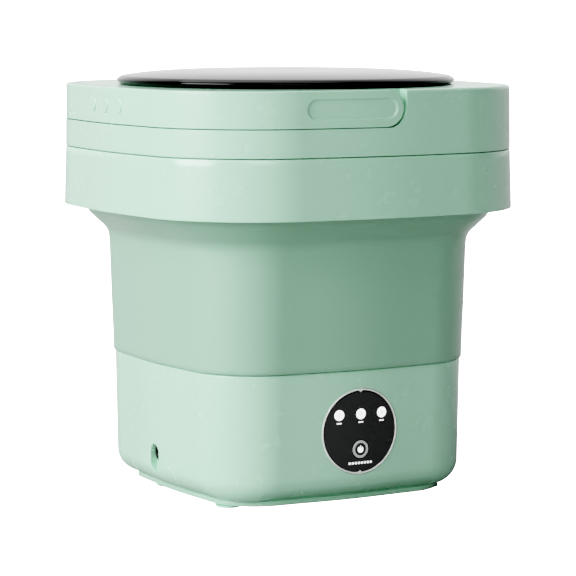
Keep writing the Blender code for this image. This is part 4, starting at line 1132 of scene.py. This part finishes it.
# A camera about 2 m away, a little above the object, with a long lens
CAMERA_PLACE = Vector((-0.97671, -1.77618, 0.3695))
CAMERA_TURN, CAMERA_TILT = math.radians(-28.8572), math.radians(6.2704)
CAMERA_LENS = 170.49
BEHIND = (-math.sin(CAMERA_TURN), math.cos(CAMERA_TURN), 0)

# Strengths of the floor and the world
FLOOR_GLOW, FLOOR_MIRROR = 3.0, 0.28
WORLD_LEFT, WORLD_RIGHT = 0.33, 0.0
WORLD_WHITE = 3.0
GLOSS_BEHIND, GLOSS_IN_FRONT = 0.64, 0.01


def build_floor():
    """A wide pale floor. The camera sees it fully white, reflections find it as bright as the world behind the
    object, and it throws only a little light up."""
    angles = np.linspace(0, 2 * math.pi, 96, endpoint=False)
    rings = [0.02, 0.5, 2, 10, 60, 400]
    rows = [np.column_stack([r * np.cos(angles), r * np.sin(angles), np.full(96, 0.0)]) for r in rings]
    rows += [row - (0, 0, 0.01) for row in (rows[-1], rows[0])]
    look = Look("studio_floor", (0.50, 0.50, 0.50), 0.9)
    look.tint(look.noise(3, 2), (0.52, 0.52, 0.52))
    tree = look.material.node_tree
    seen = tree.nodes.new("ShaderNodeLightPath").outputs["Is Camera Ray"]
    glow = tree.nodes.new("ShaderNodeEmission")
    glow.inputs["Strength"].default_value = FLOOR_GLOW
    both = tree.nodes.new("ShaderNodeAddShader")
    choose = tree.nodes.new("ShaderNodeMixShader")
    tree.links.new(look.shader.outputs["BSDF"], both.inputs[0])
    tree.links.new(glow.outputs["Emission"], both.inputs[1])
    tree.links.new(seen, choose.inputs["Fac"])
    tree.links.new(look.shader.outputs["BSDF"], choose.inputs[1])
    tree.links.new(both.outputs["Shader"], choose.inputs[2])
    far = tree.nodes.new("ShaderNodeVectorMath")
    far.operation = "DOT_PRODUCT"
    far.inputs[1].default_value = BEHIND
    tree.links.new(tree.nodes.new("ShaderNodeNewGeometry").outputs["Position"], far.inputs[0])
    glossy = tree.nodes.new("ShaderNodeMath")
    glossy.operation = "MULTIPLY"
    tree.links.new(look.ranged(far.outputs["Value"], 0.15, 0.45, 0, 1), glossy.inputs[0])
    tree.links.new(tree.nodes.new("ShaderNodeLightPath").outputs["Is Glossy Ray"], glossy.inputs[1])
    mirror = tree.nodes.new("ShaderNodeEmission")
    mirror.inputs["Strength"].default_value = FLOOR_MIRROR
    reflect = tree.nodes.new("ShaderNodeMixShader")
    tree.links.new(glossy.outputs[0], reflect.inputs["Fac"])
    tree.links.new(choose.outputs["Shader"], reflect.inputs[1])
    tree.links.new(mirror.outputs["Emission"], reflect.inputs[2])
    tree.links.new(reflect.outputs["Shader"], tree.nodes["Material Output"].inputs["Surface"])
    floor = skin("studio_floor", rows, look.material)
    floor.location.z = -0.0002


def graded(nodes, links, direction, towards, span, values):
    """A background whose strength changes with how far a direction points towards one way."""
    facing = nodes.new("ShaderNodeVectorMath")
    facing.operation = "DOT_PRODUCT"
    facing.inputs[1].default_value = towards
    links.new(direction, facing.inputs[0])
    across = nodes.new("ShaderNodeMapRange")
    across.interpolation_type = "SMOOTHSTEP"
    for socket, value in zip(("From Min", "From Max", "To Min", "To Max"), (*span, *values)):
        across.inputs[socket].default_value = value
    links.new(facing.outputs["Value"], across.inputs["Value"])
    background = nodes.new("ShaderNodeBackground")
    links.new(across.outputs["Result"], background.inputs["Strength"])
    return background


def build_world():
    """White to the camera. Reflections find it white behind the object and dark in front, and the soft light
    it gives is stronger on the left than on the right."""
    world = bpy.data.worlds.new("studio")
    bpy.context.scene.world = world
    world.use_nodes = True
    nodes, links = world.node_tree.nodes, world.node_tree.links
    direction = nodes.new("ShaderNodeTexCoord").outputs["Generated"]
    path = nodes.new("ShaderNodeLightPath")
    white = nodes["Background"]
    white.inputs["Color"].default_value = (1, 1, 1, 1)
    white.inputs["Strength"].default_value = WORLD_WHITE
    soft = graded(nodes, links, direction, (1, 0, 0), (-1, 1), (WORLD_LEFT, WORLD_RIGHT))
    soft.inputs["Color"].default_value = (0.96, 1.0, 0.975, 1)
    gloss = graded(nodes, links, direction, BEHIND, (0.0, 0.75), (GLOSS_IN_FRONT, GLOSS_BEHIND))
    shown = soft
    for background, ray in ((gloss, "Is Glossy Ray"), (white, "Is Camera Ray")):
        choose = nodes.new("ShaderNodeMixShader")
        links.new(path.outputs[ray], choose.inputs["Fac"])
        links.new(shown.outputs[0], choose.inputs[1])
        links.new(background.outputs["Background"], choose.inputs[2])
        shown = choose
    links.new(shown.outputs[0], nodes["World Output"].inputs["Surface"])


def softbox(name, place, target, width, height, power, colour=(1, 1, 1)):
    data = bpy.data.lights.new(name, "AREA")
    data.shape = "RECTANGLE"
    data.size, data.size_y = width, height
    data.energy = power
    data.color = colour
    lamp = bpy.data.objects.new(name, data)
    bpy.context.scene.collection.objects.link(lamp)
    lamp.location = place
    lamp.rotation_mode = "QUATERNION"
    lamp.rotation_quaternion = (Vector(target) - Vector(place)).to_track_quat("-Z", "Y")
    return lamp


def build_lights():
    softbox("key_light", (-2.6, -0.25, 1.15), (0, 0, 0.15), 1.8, 1.8, 33, (1.0, 0.97, 0.985))
    softbox("front_light", (-1.25, -2.75, 1.4), (0, 0, 0.15), 1.4, 1.4, 7.8)
    softbox("top_light", (-0.3, 0.5, 2.6), (0, 0, 0.2), 2.2, 2.2, 7.5)


def develop():
    """A film-like curve on each channel: deep tones fall away and bright ones stay soft."""
    view = bpy.context.scene.view_settings
    view.view_transform = "Standard"
    view.use_curve_mapping = True
    mapping = view.curve_mapping
    mapping.extend = "HORIZONTAL"
    curve = mapping.curves[3]
    places = (0.01, 0.02, 0.035, 0.05, 0.08, 0.12, 0.18, 0.26, 0.36, 0.50, 0.70, 1.0)
    for place in places[:-1]:
        curve.points.new(place, developed(place))
    curve.points[-1].location = (1.0, min(1.0, developed(1.0)))
    mapping.update()


def developed(light):
    return min(1.0, 1.366 * math.exp(-0.312 * light**-0.77))


def build_camera():
    data = bpy.data.cameras.new("camera")
    data.sensor_width = 36
    data.lens = CAMERA_LENS
    data.clip_start, data.clip_end = 0.05, 1000
    camera = bpy.data.objects.new("camera", data)
    bpy.context.scene.collection.objects.link(camera)
    way = Vector((
        -math.sin(CAMERA_TURN) * math.cos(CAMERA_TILT),
        math.cos(CAMERA_TURN) * math.cos(CAMERA_TILT),
        -math.sin(CAMERA_TILT),
    ))
    camera.location = CAMERA_PLACE
    camera.rotation_mode = "QUATERNION"
    camera.rotation_quaternion = way.to_track_quat("-Z", "Y")
    bpy.context.scene.camera = camera


# ---------------------------------------------------------------- everything

build_base_shell()
build_bottom()
for number in range(1, 5):
    screw(f"cover_screw_{number}_head", f"cover_screw_{number}", "base", 0.0028, 0.0014, 0.0012, -1)
for number in (1, 2):
    screw(f"motor_screw_{number}_head", f"motor_screw_{number}", "base", 0.0028, 0.0014, 0.0013, 1)
screw("pulsator_cap_screw", "pulsator_screw", "pulsator", 0.0055, 0.0021, 0.0020, 1)
build_liner()
build_soft_wall()
build_panel()
build_marks()
build_button()
build_jack()
build_collar_body()
build_collar_skirt()
build_handle()
build_lid()
build_pulsator()
build_drain()
dress_kept_nodes()

build_floor()
build_world()
build_lights()
build_camera()
develop()
